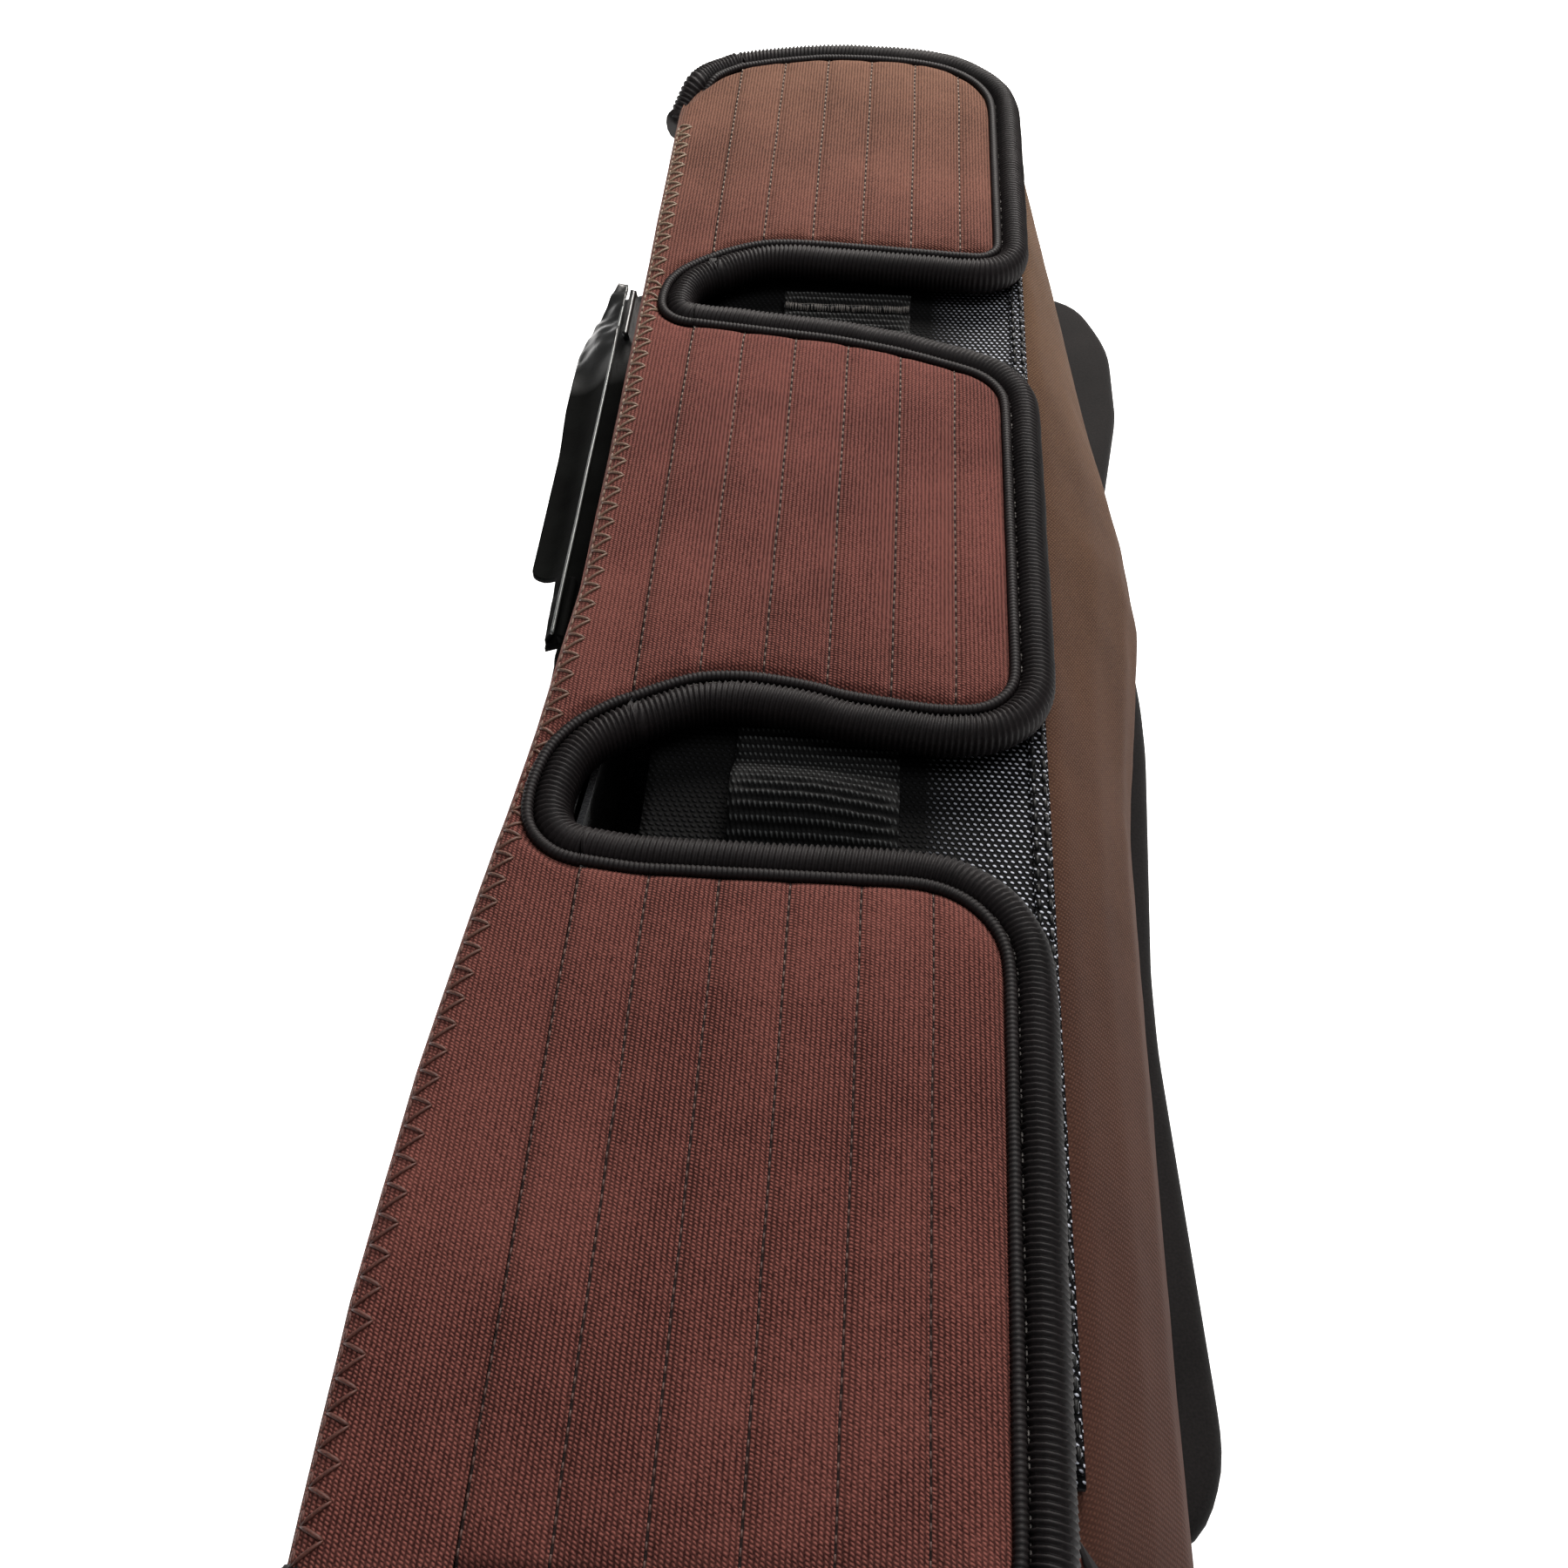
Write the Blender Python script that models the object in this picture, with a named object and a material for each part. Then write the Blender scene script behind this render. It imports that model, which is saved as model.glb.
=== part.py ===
"""Padded gig bag for a compact brass instrument, lying on its back.

Metres, +Z up. +X is to the right across the quilted front, +Y runs from the foot end to
the head end. The origin is under the middle of the bag, on the surface that it lies on.

The bag is a tapered, bulging tub of padded side walls. Its front is closed by three quilted
finger flaps, which fold back to the left along their first sewn channel.
"""
import math

import bmesh
import bpy
from mathutils import Matrix, Vector

GAP = 0.0003                      # running gap between neighbouring solids

# Levels of the tub, from the surface that the bag lies on.
PAD_TOP = 0.0101                  # top of the pads and straps under the back
WALL_BOTTOM = 0.0140
WALL_BELLY = 0.0420               # height where the side walls are widest
RIGHT_RIM = 0.0850
RIM = 0.0888                      # rim of the left wall and of both ends
BACK_FOAM_TOP = 0.0210
BOARD_TOP = 0.0234
INNER_RIM = 0.0840                # rim of the inner foam and the lining

# Layers of a side wall, as depths in from its outer face.
WALL_THICK = 0.0050
FOAM_IN = (0.0060, 0.0130)
LINING_IN = (0.0145, 0.0160)

# Plan of the tub at three levels: bottom, belly and rim.
END_REACH = (0.256, 0.262, 0.253)
CORNER_RADIUS = {"foot": (0.024, 0.030, 0.022), "head": (0.036, 0.042, 0.036)}
RIGHT_TOP = 0.053                 # straight upper edge of the right wall
RIGHT_BELLY = 0.079
RIGHT_SWELL = (0.008, 0.035, 0.055)   # extra belly past the middle: size, centre y, spread
RIGHT_NARROWING = (0.62, 0.060)   # narrowing towards the head: rate, and where it starts
LEFT_TOP = 0.0628                 # upper edge of the left wall at the head half
LEFT_FLARE = 0.015                # how much wider the left edge gets at the foot
LEFT_FLARE_LENGTH = 0.210
LEFT_BELLY = 0.009                # belly and bottom of the left wall, out from its rim
LEFT_BOTTOM = 0.005
BOTTOM_TUCK = 0.006               # the right wall's bottom, in from its belly
PIPING_HALF = 0.06                # half width of a corner piping, in corner units
PIPING_PROUD = 0.0016
CORNER_GAP = 0.008                # gap beside a piping, in corner units

# Layers of the quilted front.
LINING_LEVEL = (0.0897, 0.0910)
FOAM_LEVEL = (0.0913, 0.0970)
COVER_LEVEL = (0.0973, 0.0998)
HOOK_LEVEL = (0.0884, 0.0894)
LOOP_LEVEL = (0.0871, 0.0881)
APRON_LEVEL = (0.0853, 0.0868)
BINDING_WIDTH = 0.0072
HINGE_LEVEL = COVER_LEVEL[1]      # a flap folds about its outer fabric

# Finger flaps: outline of the quilted field, anticlockwise from the foot end of its fold
# line, as (x, y, corner radius). The fold line joins the last point to the first.
FLAPS = {
    "upper_flap": [(-0.043, 0.1215, 0), (-0.029, 0.1325, 0.030), (0.045, 0.1262, 0.008),
                   (0.0448, 0.247, 0.032), (-0.014, 0.2545, 0.080), (-0.043, 0.244, 0)],
    "middle_flap": [(-0.045, -0.0610, 0), (-0.0295, -0.0525, 0.025), (-0.010, -0.0525, 0.040),
                    (0.014, -0.0605, 0.060), (0.0455, -0.060, 0.014), (0.0455, 0.068, 0.018),
                    (0.007, 0.0833, 0.080), (-0.045, 0.0905, 0)],
    "lower_flap": [(-0.050, -0.252, 0), (0.041, -0.252, 0.010), (0.0425, -0.1078, 0.022),
                   (-0.038, -0.1078, 0.030), (-0.050, -0.1062, 0)],
}
HOOK_X = (0.022, 0.040)           # touch-fastener strips under the free edges
HOOK_Y = {"upper_flap": (0.138, 0.208), "middle_flap": (-0.046, 0.064),
          "lower_flap": (-0.222, -0.122)}

# Rounded ends of the two slots between the fingers, cut into the fixed left margin.
SLOT_ENDS = {
    "upper_slot": [(-0.045, 0.0905, 0), (-0.054, 0.0917, 0.0085), (-0.054, 0.1129, 0.0200),
                   (-0.043, 0.1215, 0)],
    "lower_slot": [(-0.050, -0.1062, 0), (-0.0625, -0.1045, 0.0160), (-0.0625, -0.0706, 0.0280),
                   (-0.045, -0.0610, 0)],
}
SLOT_BINDING_WIDTH = 0.0066
MARGIN_INSET = 0.0005             # left edge of the margin, in from the wall's rim

# Mesh apron under the flaps, and the webbing carry strap on it.
APRON_X = (-0.040, 0.0525)
APRON_Y = (-0.227, 0.214)
EDGE_TAPE_X = (0.0480, 0.0520)
EDGE_TAPE_INSET = 0.002
WEBBING_X = (-0.020, 0.018)
WEBBING_THICK = 0.0018
WEBBING_Y = (-0.170, 0.118)
WEBBING_FOLD = 0.0060             # length of the end folded back on top
WEBBING_ARCH_Y = (-0.101, -0.067)
WEBBING_ARCH_RISE = 0.0080

# Side carry handle on the left wall: a flat strip that slopes down and out at rest.
HANDLE_AXIS = (-0.0690, 0.0870)   # x and z of the line that it swings about
HANDLE_SLOPE = math.radians(34)
HANDLE_THICK = 0.0024
HANDLE_SHAPE = [(0.0, -0.028), (0.0035, -0.028), (0.0045, -0.003), (0.0150, -0.0005),
                (0.0150, 0.097), (0.0035, 0.124), (0.0, 0.124)]   # reach from the axis, y
TAB_LEVEL = (0.0680, 0.0870)
TAB_THICK = 0.0030
TAB_Y = {"head": 0.112, "foot": -0.018}
TAB_HALF_LENGTH = 0.011

# Shoulder straps and pads under the back.
STRAP_REACH = 0.0950
STRAP_FLEECE_TOP = 0.0027
STRAP_RIGHT = [(0.047, -0.214, 0.016), (0.086, -0.214, 0.014), (STRAP_REACH, -0.196, 0.030),
               (0.088, -0.080, 0.200), (0.0940, 0.020, 0.150), (0.0870, 0.120, 0.040),
               (STRAP_REACH, 0.172, 0.040), (STRAP_REACH, 0.212, 0.030), (0.083, 0.244, 0.020),
               (0.030, 0.244, 0.014), (0.044, 0.160, 0.060)]
STRAP_LEFT = [(-0.048, -0.214, 0.016), (-0.040, 0.160, 0.060), (-0.028, 0.244, 0.014),
              (-0.066, 0.244, 0.030), (-0.083, 0.172, 0.060), (-0.083, -0.030, 0.150),
              (-STRAP_REACH, -0.110, 0.150), (-STRAP_REACH, -0.214, 0.016)]
STRAP_CENTRE = {"right": 0.0675, "left": -0.0695}   # x of the buckles and tails
TAIL_END = -0.246
TAIL_HALF_WIDTH = 0.0125
BUCKLE_LEVEL = (0.0022, 0.0070)
TAIL_LEVEL = (0.0073, 0.0088)
ANCHOR_LEVEL = (0.0091, 0.0100)
BACK_PAD_HALF_WIDTH = 0.034
ARC_STEP = math.radians(18)


def clear_scene():
    """Empty the scene, so that the model is all that it holds."""
    for old in list(bpy.data.objects):
        bpy.data.objects.remove(old, do_unlink=True)


def material(name, colour, roughness, metallic=0.0):
    """A plain Principled material."""
    made = bpy.data.materials.new(name)
    made.use_nodes = True
    shader = made.node_tree.nodes["Principled BSDF"]
    shader.inputs["Base Color"].default_value = (*colour, 1.0)
    shader.inputs["Roughness"].default_value = roughness
    shader.inputs["Metallic"].default_value = metallic
    made.diffuse_color = (*colour, 1.0)
    return made


BROWN_KNIT = (0.105, 0.045, 0.034)
BLACK_KNIT = (0.018, 0.014, 0.014)
FOAM_GREY = (0.12, 0.12, 0.125)
MESH_GREY = (0.10, 0.10, 0.11)
WEBBING_BLACK = (0.020, 0.020, 0.021)
VINYL_BLACK = (0.010, 0.010, 0.011)
FLEECE_GREY = (0.035, 0.035, 0.037)
BOARD_WHITE = (0.55, 0.55, 0.53)
PLASTIC_BLACK = (0.015, 0.015, 0.016)
LINING_GREY = (0.05, 0.05, 0.055)


def finish(name, mesh, colour, roughness=0.9, parent=None):
    """Close a mesh into a named object, under a parent empty if it moves."""
    bmesh.ops.recalc_face_normals(mesh, faces=mesh.faces)
    if parent is not None:
        bmesh.ops.translate(mesh, verts=mesh.verts, vec=-parent.location)
    data = bpy.data.meshes.new(name)
    mesh.to_mesh(data)
    mesh.free()
    made = bpy.data.objects.new(name, data)
    made.data.materials.append(material(name, colour, roughness))
    bpy.context.collection.objects.link(made)
    made.parent = parent
    return made


def pivot(name, location):
    """An empty on a joint's axis, which carries the pieces that move together."""
    made = bpy.data.objects.new(name, None)
    made.location = location
    bpy.context.collection.objects.link(made)
    return made


def fillet_path(corners, closed=False):
    """Points of a path whose corners are rounded to the radius given with each."""
    points = []
    count = len(corners)
    for index, (x, y, radius) in enumerate(corners):
        here = Vector((x, y))
        is_end = not closed and index in (0, count - 1)
        if radius == 0 or is_end:
            points.append(here)
            continue
        before = Vector(corners[index - 1][:2]) - here
        after = Vector(corners[(index + 1) % count][:2]) - here
        half = before.angle(after) / 2
        room = [0.96 * side.length if not closed and end in (0, count - 1)
                else 0.48 * side.length for side, end in ((before, index - 1), (after, index + 1))]
        reach = min(radius / math.tan(half), *room)
        true_radius = reach * math.tan(half)
        centre = here + (before.normalized() + after.normalized()).normalized() \
            * (true_radius / math.sin(half))
        start = here + before.normalized() * reach - centre
        sweep = start.angle_signed(here + after.normalized() * reach - centre)
        steps = max(1, round(abs(sweep) / ARC_STEP))
        for step in range(steps + 1):
            turned = start.copy()
            turned.rotate(Matrix.Rotation(-sweep * step / steps, 2))
            points.append(centre + turned)
    return points


def offset_path(points, distance, along_folds=False):
    """An open path moved to the right of its direction of travel.

    With along_folds an end that meets a fold line moves parallel to Y, along that line, and
    the points behind it stay on their own side of the line.
    """
    moved = []
    folded = []
    for index, point in enumerate(points):
        before = points[max(index - 1, 0)]
        after = points[min(index + 1, len(points) - 1)]
        into = (point - before) if index else (after - point)
        out = (after - point) if index < len(points) - 1 else into
        normals = [Vector((way.y, -way.x)).normalized() for way in (into, out)]
        bisector = (normals[0] + normals[1]).normalized()
        if along_folds and index in (0, len(points) - 1) and abs(bisector.y) > 0.5:
            moved.append(point + Vector((0, math.copysign(distance, bisector.y))))
            folded.append(index)
            continue
        moved.append(point + bisector * (distance / max(0.5, bisector.dot(normals[0]))))
    half = len(points) // 2
    for index in folded:
        fold_x = points[index].x
        keep = max if points[half].x > fold_x else min
        for other in (range(1, half) if index == 0 else range(half, len(points) - 1)):
            moved[other].x = keep(moved[other].x, fold_x)
    return moved


def slab(outline, levels):
    """An upright prism on a closed plan outline, between two levels."""
    mesh = bmesh.new()
    rings = [[mesh.verts.new((point[0], point[1], level)) for point in outline]
             for level in levels]
    count = len(outline)
    mesh.faces.new(reversed(rings[0]))
    mesh.faces.new(rings[1])
    for i in range(count):
        j = (i + 1) % count
        mesh.faces.new((rings[0][i], rings[0][j], rings[1][j], rings[1][i]))
    return mesh


def rectangle(x_range, y_range):
    """Corners of an upright rectangle in plan."""
    return [(x_range[0], y_range[0]), (x_range[1], y_range[0]),
            (x_range[1], y_range[1]), (x_range[0], y_range[1])]


# --- The tub -----------------------------------------------------------------------------

def smoothstep(value):
    """A smooth ramp from 0 to 1."""
    value = max(0.0, min(1.0, value))
    return value * value * (3 - 2 * value)


def right_edge(y, level):
    """Half width on the right: straight at the rim, swelling at the belly past the middle."""
    size, centre, spread = RIGHT_SWELL
    rate, begin = RIGHT_NARROWING
    swell = size * math.exp(-((y - centre) / spread) ** 2)
    belly = RIGHT_BELLY + swell - rate * max(0.0, y - begin) ** 2
    return (belly - BOTTOM_TUCK, belly, RIGHT_TOP)[level]


def left_edge(y, level):
    """Half width on the left, which flares towards the foot."""
    top = LEFT_TOP + LEFT_FLARE * smoothstep(-y / LEFT_FLARE_LENGTH)
    return -(top + LEFT_BOTTOM, top + LEFT_BELLY, top)[level]


def straight_run(level):
    """Lowest and highest y of the tub's long sides, between its rounded corners."""
    return (CORNER_RADIUS["foot"][level] - END_REACH[level],
            END_REACH[level] - CORNER_RADIUS["head"][level])


def outline_point(u, level):
    """A point of the tub's plan. u counts its eight stretches from the right side's foot."""
    u = u % 8
    stretch = int(u)
    t = u - stretch
    end = END_REACH[level]
    low, high = straight_run(level)
    if stretch in (0, 4):
        y = low + (high - low) * (t if stretch == 0 else 1 - t)
        edge = right_edge if stretch == 0 else left_edge
        return Vector((edge(y, level), y))
    at_head = stretch in (1, 2, 3)
    radius = CORNER_RADIUS["head" if at_head else "foot"][level]
    corner_y = high if at_head else low
    right = right_edge(corner_y, level) - radius
    left = left_edge(corner_y, level) + radius
    if stretch == 2:
        return Vector((right + (left - right) * t, end))
    if stretch == 6:
        return Vector((left + (right - left) * t, -end))
    centre = Vector((right if stretch in (1, 7) else left, corner_y))
    angle = math.radians(90) * (t + (stretch - 1) / 2)
    return centre + radius * Vector((math.cos(angle), math.sin(angle)))


def outward(u):
    """The plan's outward normal at u."""
    step = 0.001
    along = outline_point(u + step, 1) - outline_point(u - step, 1)
    return Vector((along.y, -along.x)).normalized()


def rim_level(u):
    """Level of the rim at u: lower along the right side, blended round its corners."""
    u = u % 8
    away = u - 1 if u < 4 else 8 - u
    return RIGHT_RIM + (RIM - RIGHT_RIM) * smoothstep(away)


def height_share(level, rim):
    """How far up the wall's curve a level lies, from 0 at the bottom to 1 at the rim."""
    a = 2 * WALL_BOTTOM - 4 * WALL_BELLY + 2 * rim
    b = -3 * WALL_BOTTOM + 4 * WALL_BELLY - rim
    return (-b + math.sqrt(b * b - 4 * a * (WALL_BOTTOM - level))) / (2 * a)


def wall_point(u, t, depth):
    """A point of the wall, t of the way up its curve and depth in from its face."""
    weights = ((1 - t) * (1 - 2 * t), 4 * t * (1 - t), t * (2 * t - 1))
    levels = (WALL_BOTTOM, WALL_BELLY, rim_level(u))
    flat = sum((outline_point(u, i) * weights[i] for i in range(3)), Vector((0, 0)))
    flat -= outward(u) * depth
    return Vector((flat.x, flat.y, sum(w * z for w, z in zip(weights, levels))))


def stations(start, stop):
    """Values of u from start to stop, closer together round the corners."""
    found = {start, stop}
    for stretch in range(math.floor(start), math.ceil(stop)):
        count = 12 if stretch % 4 == 0 else 4
        found.update(stretch + k / count for k in range(count)
                     if start < stretch + k / count < stop)
    return sorted(found)


def wall_solid(start, stop, depths, low=None, high=None, rows=5):
    """A closed shell between two depths of the wall, for one run of u."""
    mesh = bmesh.new()
    run = stations(start, stop)
    layers = []
    for depth in depths:
        layer = []
        for u in run:
            rim = rim_level(u)
            t_low = 0.0 if low is None else height_share(low, rim)
            t_high = 1.0 if high is None else height_share(high, rim)
            layer.append([mesh.verts.new(wall_point(u, t_low + (t_high - t_low) * k / rows,
                                                    depth)) for k in range(rows + 1)])
        layers.append(layer)
    outer, inner = layers
    last = len(run) - 1
    for i in range(last):
        for k in range(rows):
            for skin in layers:
                mesh.faces.new((skin[i][k], skin[i + 1][k], skin[i + 1][k + 1], skin[i][k + 1]))
        for k in (0, rows):
            mesh.faces.new((outer[i][k], outer[i + 1][k], inner[i + 1][k], inner[i][k]))
    for i in (0, last):
        for k in range(rows):
            mesh.faces.new((outer[i][k], outer[i][k + 1], inner[i][k + 1], inner[i][k]))
    return mesh


def plan_ring(level_index, depth):
    """The tub's closed plan at one level, depth in from its face."""
    run = stations(0.0, 8.0)[:-1]
    return [outline_point(u, level_index) - outward(u) * depth for u in run]


def tub():
    """Side walls, corner pipings, inner foam, back layers and lining."""
    sides = {"right": (-0.5, 1.5), "head": (1.5, 3.5), "left": (3.5, 5.5), "foot": (5.5, 7.5)}
    edge = PIPING_HALF + CORNER_GAP
    for side, (start, stop) in sides.items():
        finish(f"{side}_wall", wall_solid(start + edge, stop - edge, (0, WALL_THICK)), BROWN_KNIT)
        foam = wall_solid(start + CORNER_GAP, stop - CORNER_GAP, FOAM_IN, BOARD_TOP + GAP,
                          INNER_RIM)
        finish(f"{side}_wall_foam", foam, FOAM_GREY)
    for name, corner in (("head_right", 1.5), ("head_left", 3.5), ("foot_left", 5.5),
                         ("foot_right", 7.5)):
        piping = wall_solid(corner - PIPING_HALF, corner + PIPING_HALF,
                            (-PIPING_PROUD, WALL_THICK - 2 * GAP))
        finish(f"{name}_piping", piping, BLACK_KNIT)
    finish("back_panel", slab(plan_ring(0, 0.0005), (PAD_TOP + GAP, WALL_BOTTOM - GAP)),
           BLACK_KNIT)
    within = WALL_THICK + 0.0010
    finish("back_foam", slab(plan_ring(0, within), (WALL_BOTTOM, BACK_FOAM_TOP)), FOAM_GREY)
    finish("back_board", slab(plan_ring(0, within), (BACK_FOAM_TOP + GAP, BOARD_TOP)),
           BOARD_WHITE, 0.5)
    finish("lining", lining_tub(), LINING_GREY)


def lining_tub():
    """One open tub: a floor and a continuous thin wall."""
    mesh = bmesh.new()
    run = stations(0.0, 8.0)[:-1]
    rows = 4
    floor = BOARD_TOP + 2 * GAP
    thick = LINING_IN[1] - LINING_IN[0]
    skins = []
    for depth, low in ((LINING_IN[0], floor), (LINING_IN[1], floor + thick)):
        skin = []
        for u in run:
            t_low = height_share(low, rim_level(u))
            t_high = height_share(INNER_RIM, rim_level(u))
            skin.append([mesh.verts.new(wall_point(u, t_low + (t_high - t_low) * k / rows, depth))
                         for k in range(rows + 1)])
        skins.append(skin)
    count = len(run)
    for i in range(count):
        j = (i + 1) % count
        for skin in skins:
            for k in range(rows):
                mesh.faces.new((skin[i][k], skin[j][k], skin[j][k + 1], skin[i][k + 1]))
        outer, inner = skins
        mesh.faces.new((outer[i][rows], outer[j][rows], inner[j][rows], inner[i][rows]))
    for skin in skins:
        mesh.faces.new([column[0] for column in skin])
    return mesh


# --- The quilted front -------------------------------------------------------------------

def band(path, width, levels):
    """A strip of one width along the right of an open path."""
    near = offset_path(path, GAP, along_folds=True)
    far = offset_path(path, width, along_folds=True)
    return slab(near + far[::-1], levels)


def finger_flap(name, corners):
    """One quilted finger: cover, foam, lining, binding and hook strip on its own hinge."""
    field = fillet_path(corners)
    fold_x = corners[0][0]
    hinge = pivot(f"{name}_hinge", (fold_x, (field[0].y + field[-1].y) / 2, HINGE_LEVEL))
    trimmed = [Vector((max(point.x, fold_x + GAP), point.y)) for point in field]
    finish(f"{name}_cover", slab(trimmed, COVER_LEVEL), BROWN_KNIT, parent=hinge)
    finish(f"{name}_foam", slab(trimmed, FOAM_LEVEL), FOAM_GREY, parent=hinge)
    finish(f"{name}_lining", slab(trimmed, LINING_LEVEL), LINING_GREY, parent=hinge)
    finish(f"{name}_binding", band(trimmed, BINDING_WIDTH, (LINING_LEVEL[0], COVER_LEVEL[1])),
           BLACK_KNIT, parent=hinge)
    finish(f"{name}_hook_strip", slab(rectangle(HOOK_X, HOOK_Y[name]), HOOK_LEVEL),
           BLACK_KNIT, parent=hinge)


def margin_head_edge():
    """The head end of the fixed left margin, from the fold line round to the left side."""
    x, y, _ = FLAPS["upper_flap"][-1]
    left = -LEFT_TOP + MARGIN_INSET
    return fillet_path([(x, y, 0), (-0.0505, 0.240, 0.030), (left, 0.216, 0.018),
                        (left, 0.206, 0)])


def margin_foot_edge():
    """The foot end of the margin, from the left side to the fold line."""
    x, y, _ = FLAPS["lower_flap"][0]
    return [Vector((left_edge(y, 2) + MARGIN_INSET, y)), Vector((x, y))]


def margin_outline():
    """The fixed left margin of the front: the tub's left edge, two slot ends, three folds."""
    foot_left, foot_fold = margin_foot_edge()
    right = [foot_fold]
    right += fillet_path(SLOT_ENDS["lower_slot"])
    right += fillet_path(SLOT_ENDS["upper_slot"])
    left = margin_head_edge()
    start = left[-1].y
    steps = 10
    for step in range(1, steps):
        y = start + (foot_left.y - start) * step / steps
        left.append(Vector((left_edge(y, 2) + MARGIN_INSET, y)))
    return right + left + [foot_left]


def quilted_front():
    """The left margin with its slot ends, and the three finger flaps."""
    outline = margin_outline()
    finish("margin_cover", slab(outline, COVER_LEVEL), BROWN_KNIT)
    finish("margin_foam", slab(outline, (LINING_LEVEL[0], FOAM_LEVEL[1])), FOAM_GREY)
    for name, corners in SLOT_ENDS.items():
        path = fillet_path(corners)
        solid = band(path, SLOT_BINDING_WIDTH, (LINING_LEVEL[0], COVER_LEVEL[1]))
        finish(f"{name}_end_binding", solid, BLACK_KNIT)
    for name, path in (("head", margin_head_edge()), ("foot", margin_foot_edge())):
        solid = band(path, BINDING_WIDTH, (LINING_LEVEL[0], COVER_LEVEL[1]))
        finish(f"margin_{name}_binding", solid, BLACK_KNIT)
    for name, corners in FLAPS.items():
        finger_flap(name, corners)


def apron():
    """Mesh apron, its edge tape, the loop strips and the webbing carry strap."""
    finish("mesh_apron", slab(rectangle(APRON_X, APRON_Y), APRON_LEVEL), MESH_GREY)
    tape = rectangle(EDGE_TAPE_X, (APRON_Y[0] + EDGE_TAPE_INSET, APRON_Y[1] - EDGE_TAPE_INSET))
    finish("apron_edge_tape", slab(tape, LOOP_LEVEL), BLACK_KNIT)
    for name, span in HOOK_Y.items():
        finish(f"{name}_loop_strip", slab(rectangle(HOOK_X, span), LOOP_LEVEL), FLEECE_GREY)
    finish("webbing_strap", webbing(), WEBBING_BLACK, 0.6)


def webbing():
    """Flat webbing along the apron, arched up in the lower slot and folded at its head end."""
    low = APRON_LEVEL[1] + GAP
    start, stop = WEBBING_ARCH_Y
    steps = 10
    line = [(WEBBING_Y[0], low)]
    for step in range(steps + 1):
        t = step / steps
        rise = WEBBING_ARCH_RISE * math.sin(math.pi * t) ** 2
        line.append((start + (stop - start) * t, low + rise))
    line.append((WEBBING_Y[1], low))
    fold_y = WEBBING_Y[1] - WEBBING_FOLD
    top = [(y, z + WEBBING_THICK) for y, z in line]
    fold = [(WEBBING_Y[1], low + 2 * WEBBING_THICK), (fold_y, low + 2 * WEBBING_THICK),
            (fold_y, low + WEBBING_THICK)]
    profile = line + fold + top[-2::-1]
    mesh = bmesh.new()
    ends = [[mesh.verts.new((x, y, z)) for y, z in profile] for x in WEBBING_X]
    count = len(profile)
    mesh.faces.new(ends[0])
    mesh.faces.new(reversed(ends[1]))
    for i in range(count):
        j = (i + 1) % count
        mesh.faces.new((ends[0][i], ends[0][j], ends[1][j], ends[1][i]))
    return mesh


# --- Side handle, straps and back pads ---------------------------------------------------

def left_station(y):
    """The value of u beside y on the left side."""
    low, high = straight_run(1)
    return 4 + (high - y) / (high - low)


def side_handle():
    """A flat vinyl handle that swings up from two tabs sewn to the left wall."""
    ys = [y for _, y in HANDLE_SHAPE]
    hinge = pivot("side_handle_hinge", (HANDLE_AXIS[0], (min(ys) + max(ys)) / 2,
                                        HANDLE_AXIS[1]))
    strip = slab([(-reach, y) for reach, y in reversed(HANDLE_SHAPE)], (-HANDLE_THICK, 0.0))
    bmesh.ops.rotate(strip, verts=strip.verts, cent=(0, 0, 0),
                     matrix=Matrix.Rotation(-HANDLE_SLOPE, 3, "Y"))
    bmesh.ops.translate(strip, verts=strip.verts, vec=(HANDLE_AXIS[0], 0, HANDLE_AXIS[1]))
    finish("side_handle_grip", strip, VINYL_BLACK, 0.35, parent=hinge)
    for name, y in TAB_Y.items():
        start, stop = left_station(y + TAB_HALF_LENGTH), left_station(y - TAB_HALF_LENGTH)
        tab = wall_solid(start, stop, (-TAB_THICK, -GAP), *TAB_LEVEL, rows=2)
        finish(f"handle_tab_{name}", tab, VINYL_BLACK, 0.35)


def barred_frame(centre_x, y_start):
    """A ladder buckle: a flat frame with three bars and two slots."""
    xs = [centre_x + x for x in (-0.0175, -0.0135, 0.0135, 0.0175)]
    ys = [y_start - y for y in (0, 0.004, 0.008, 0.012, 0.016, 0.020)]
    holes = {(1, 1), (1, 3)}
    mesh = bmesh.new()
    grid = [[[mesh.verts.new((x, y, z)) for z in BUCKLE_LEVEL] for y in ys] for x in xs]
    solid = {(i, j) for i in range(3) for j in range(5)} - holes
    for i, j in solid:
        for k in (0, 1):
            mesh.faces.new((grid[i][j][k], grid[i + 1][j][k], grid[i + 1][j + 1][k],
                            grid[i][j + 1][k]))
        for (di, dj), (p, q) in (((-1, 0), ((0, 0), (0, 1))), ((1, 0), ((1, 0), (1, 1))),
                                 ((0, -1), ((0, 0), (1, 0))), ((0, 1), ((0, 1), (1, 1)))):
            if (i + di, j + dj) in solid:
                continue
            a, b = grid[i + p[0]][j + p[1]], grid[i + q[0]][j + q[1]]
            mesh.faces.new((a[0], b[0], b[1], a[1]))
    return mesh


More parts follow.
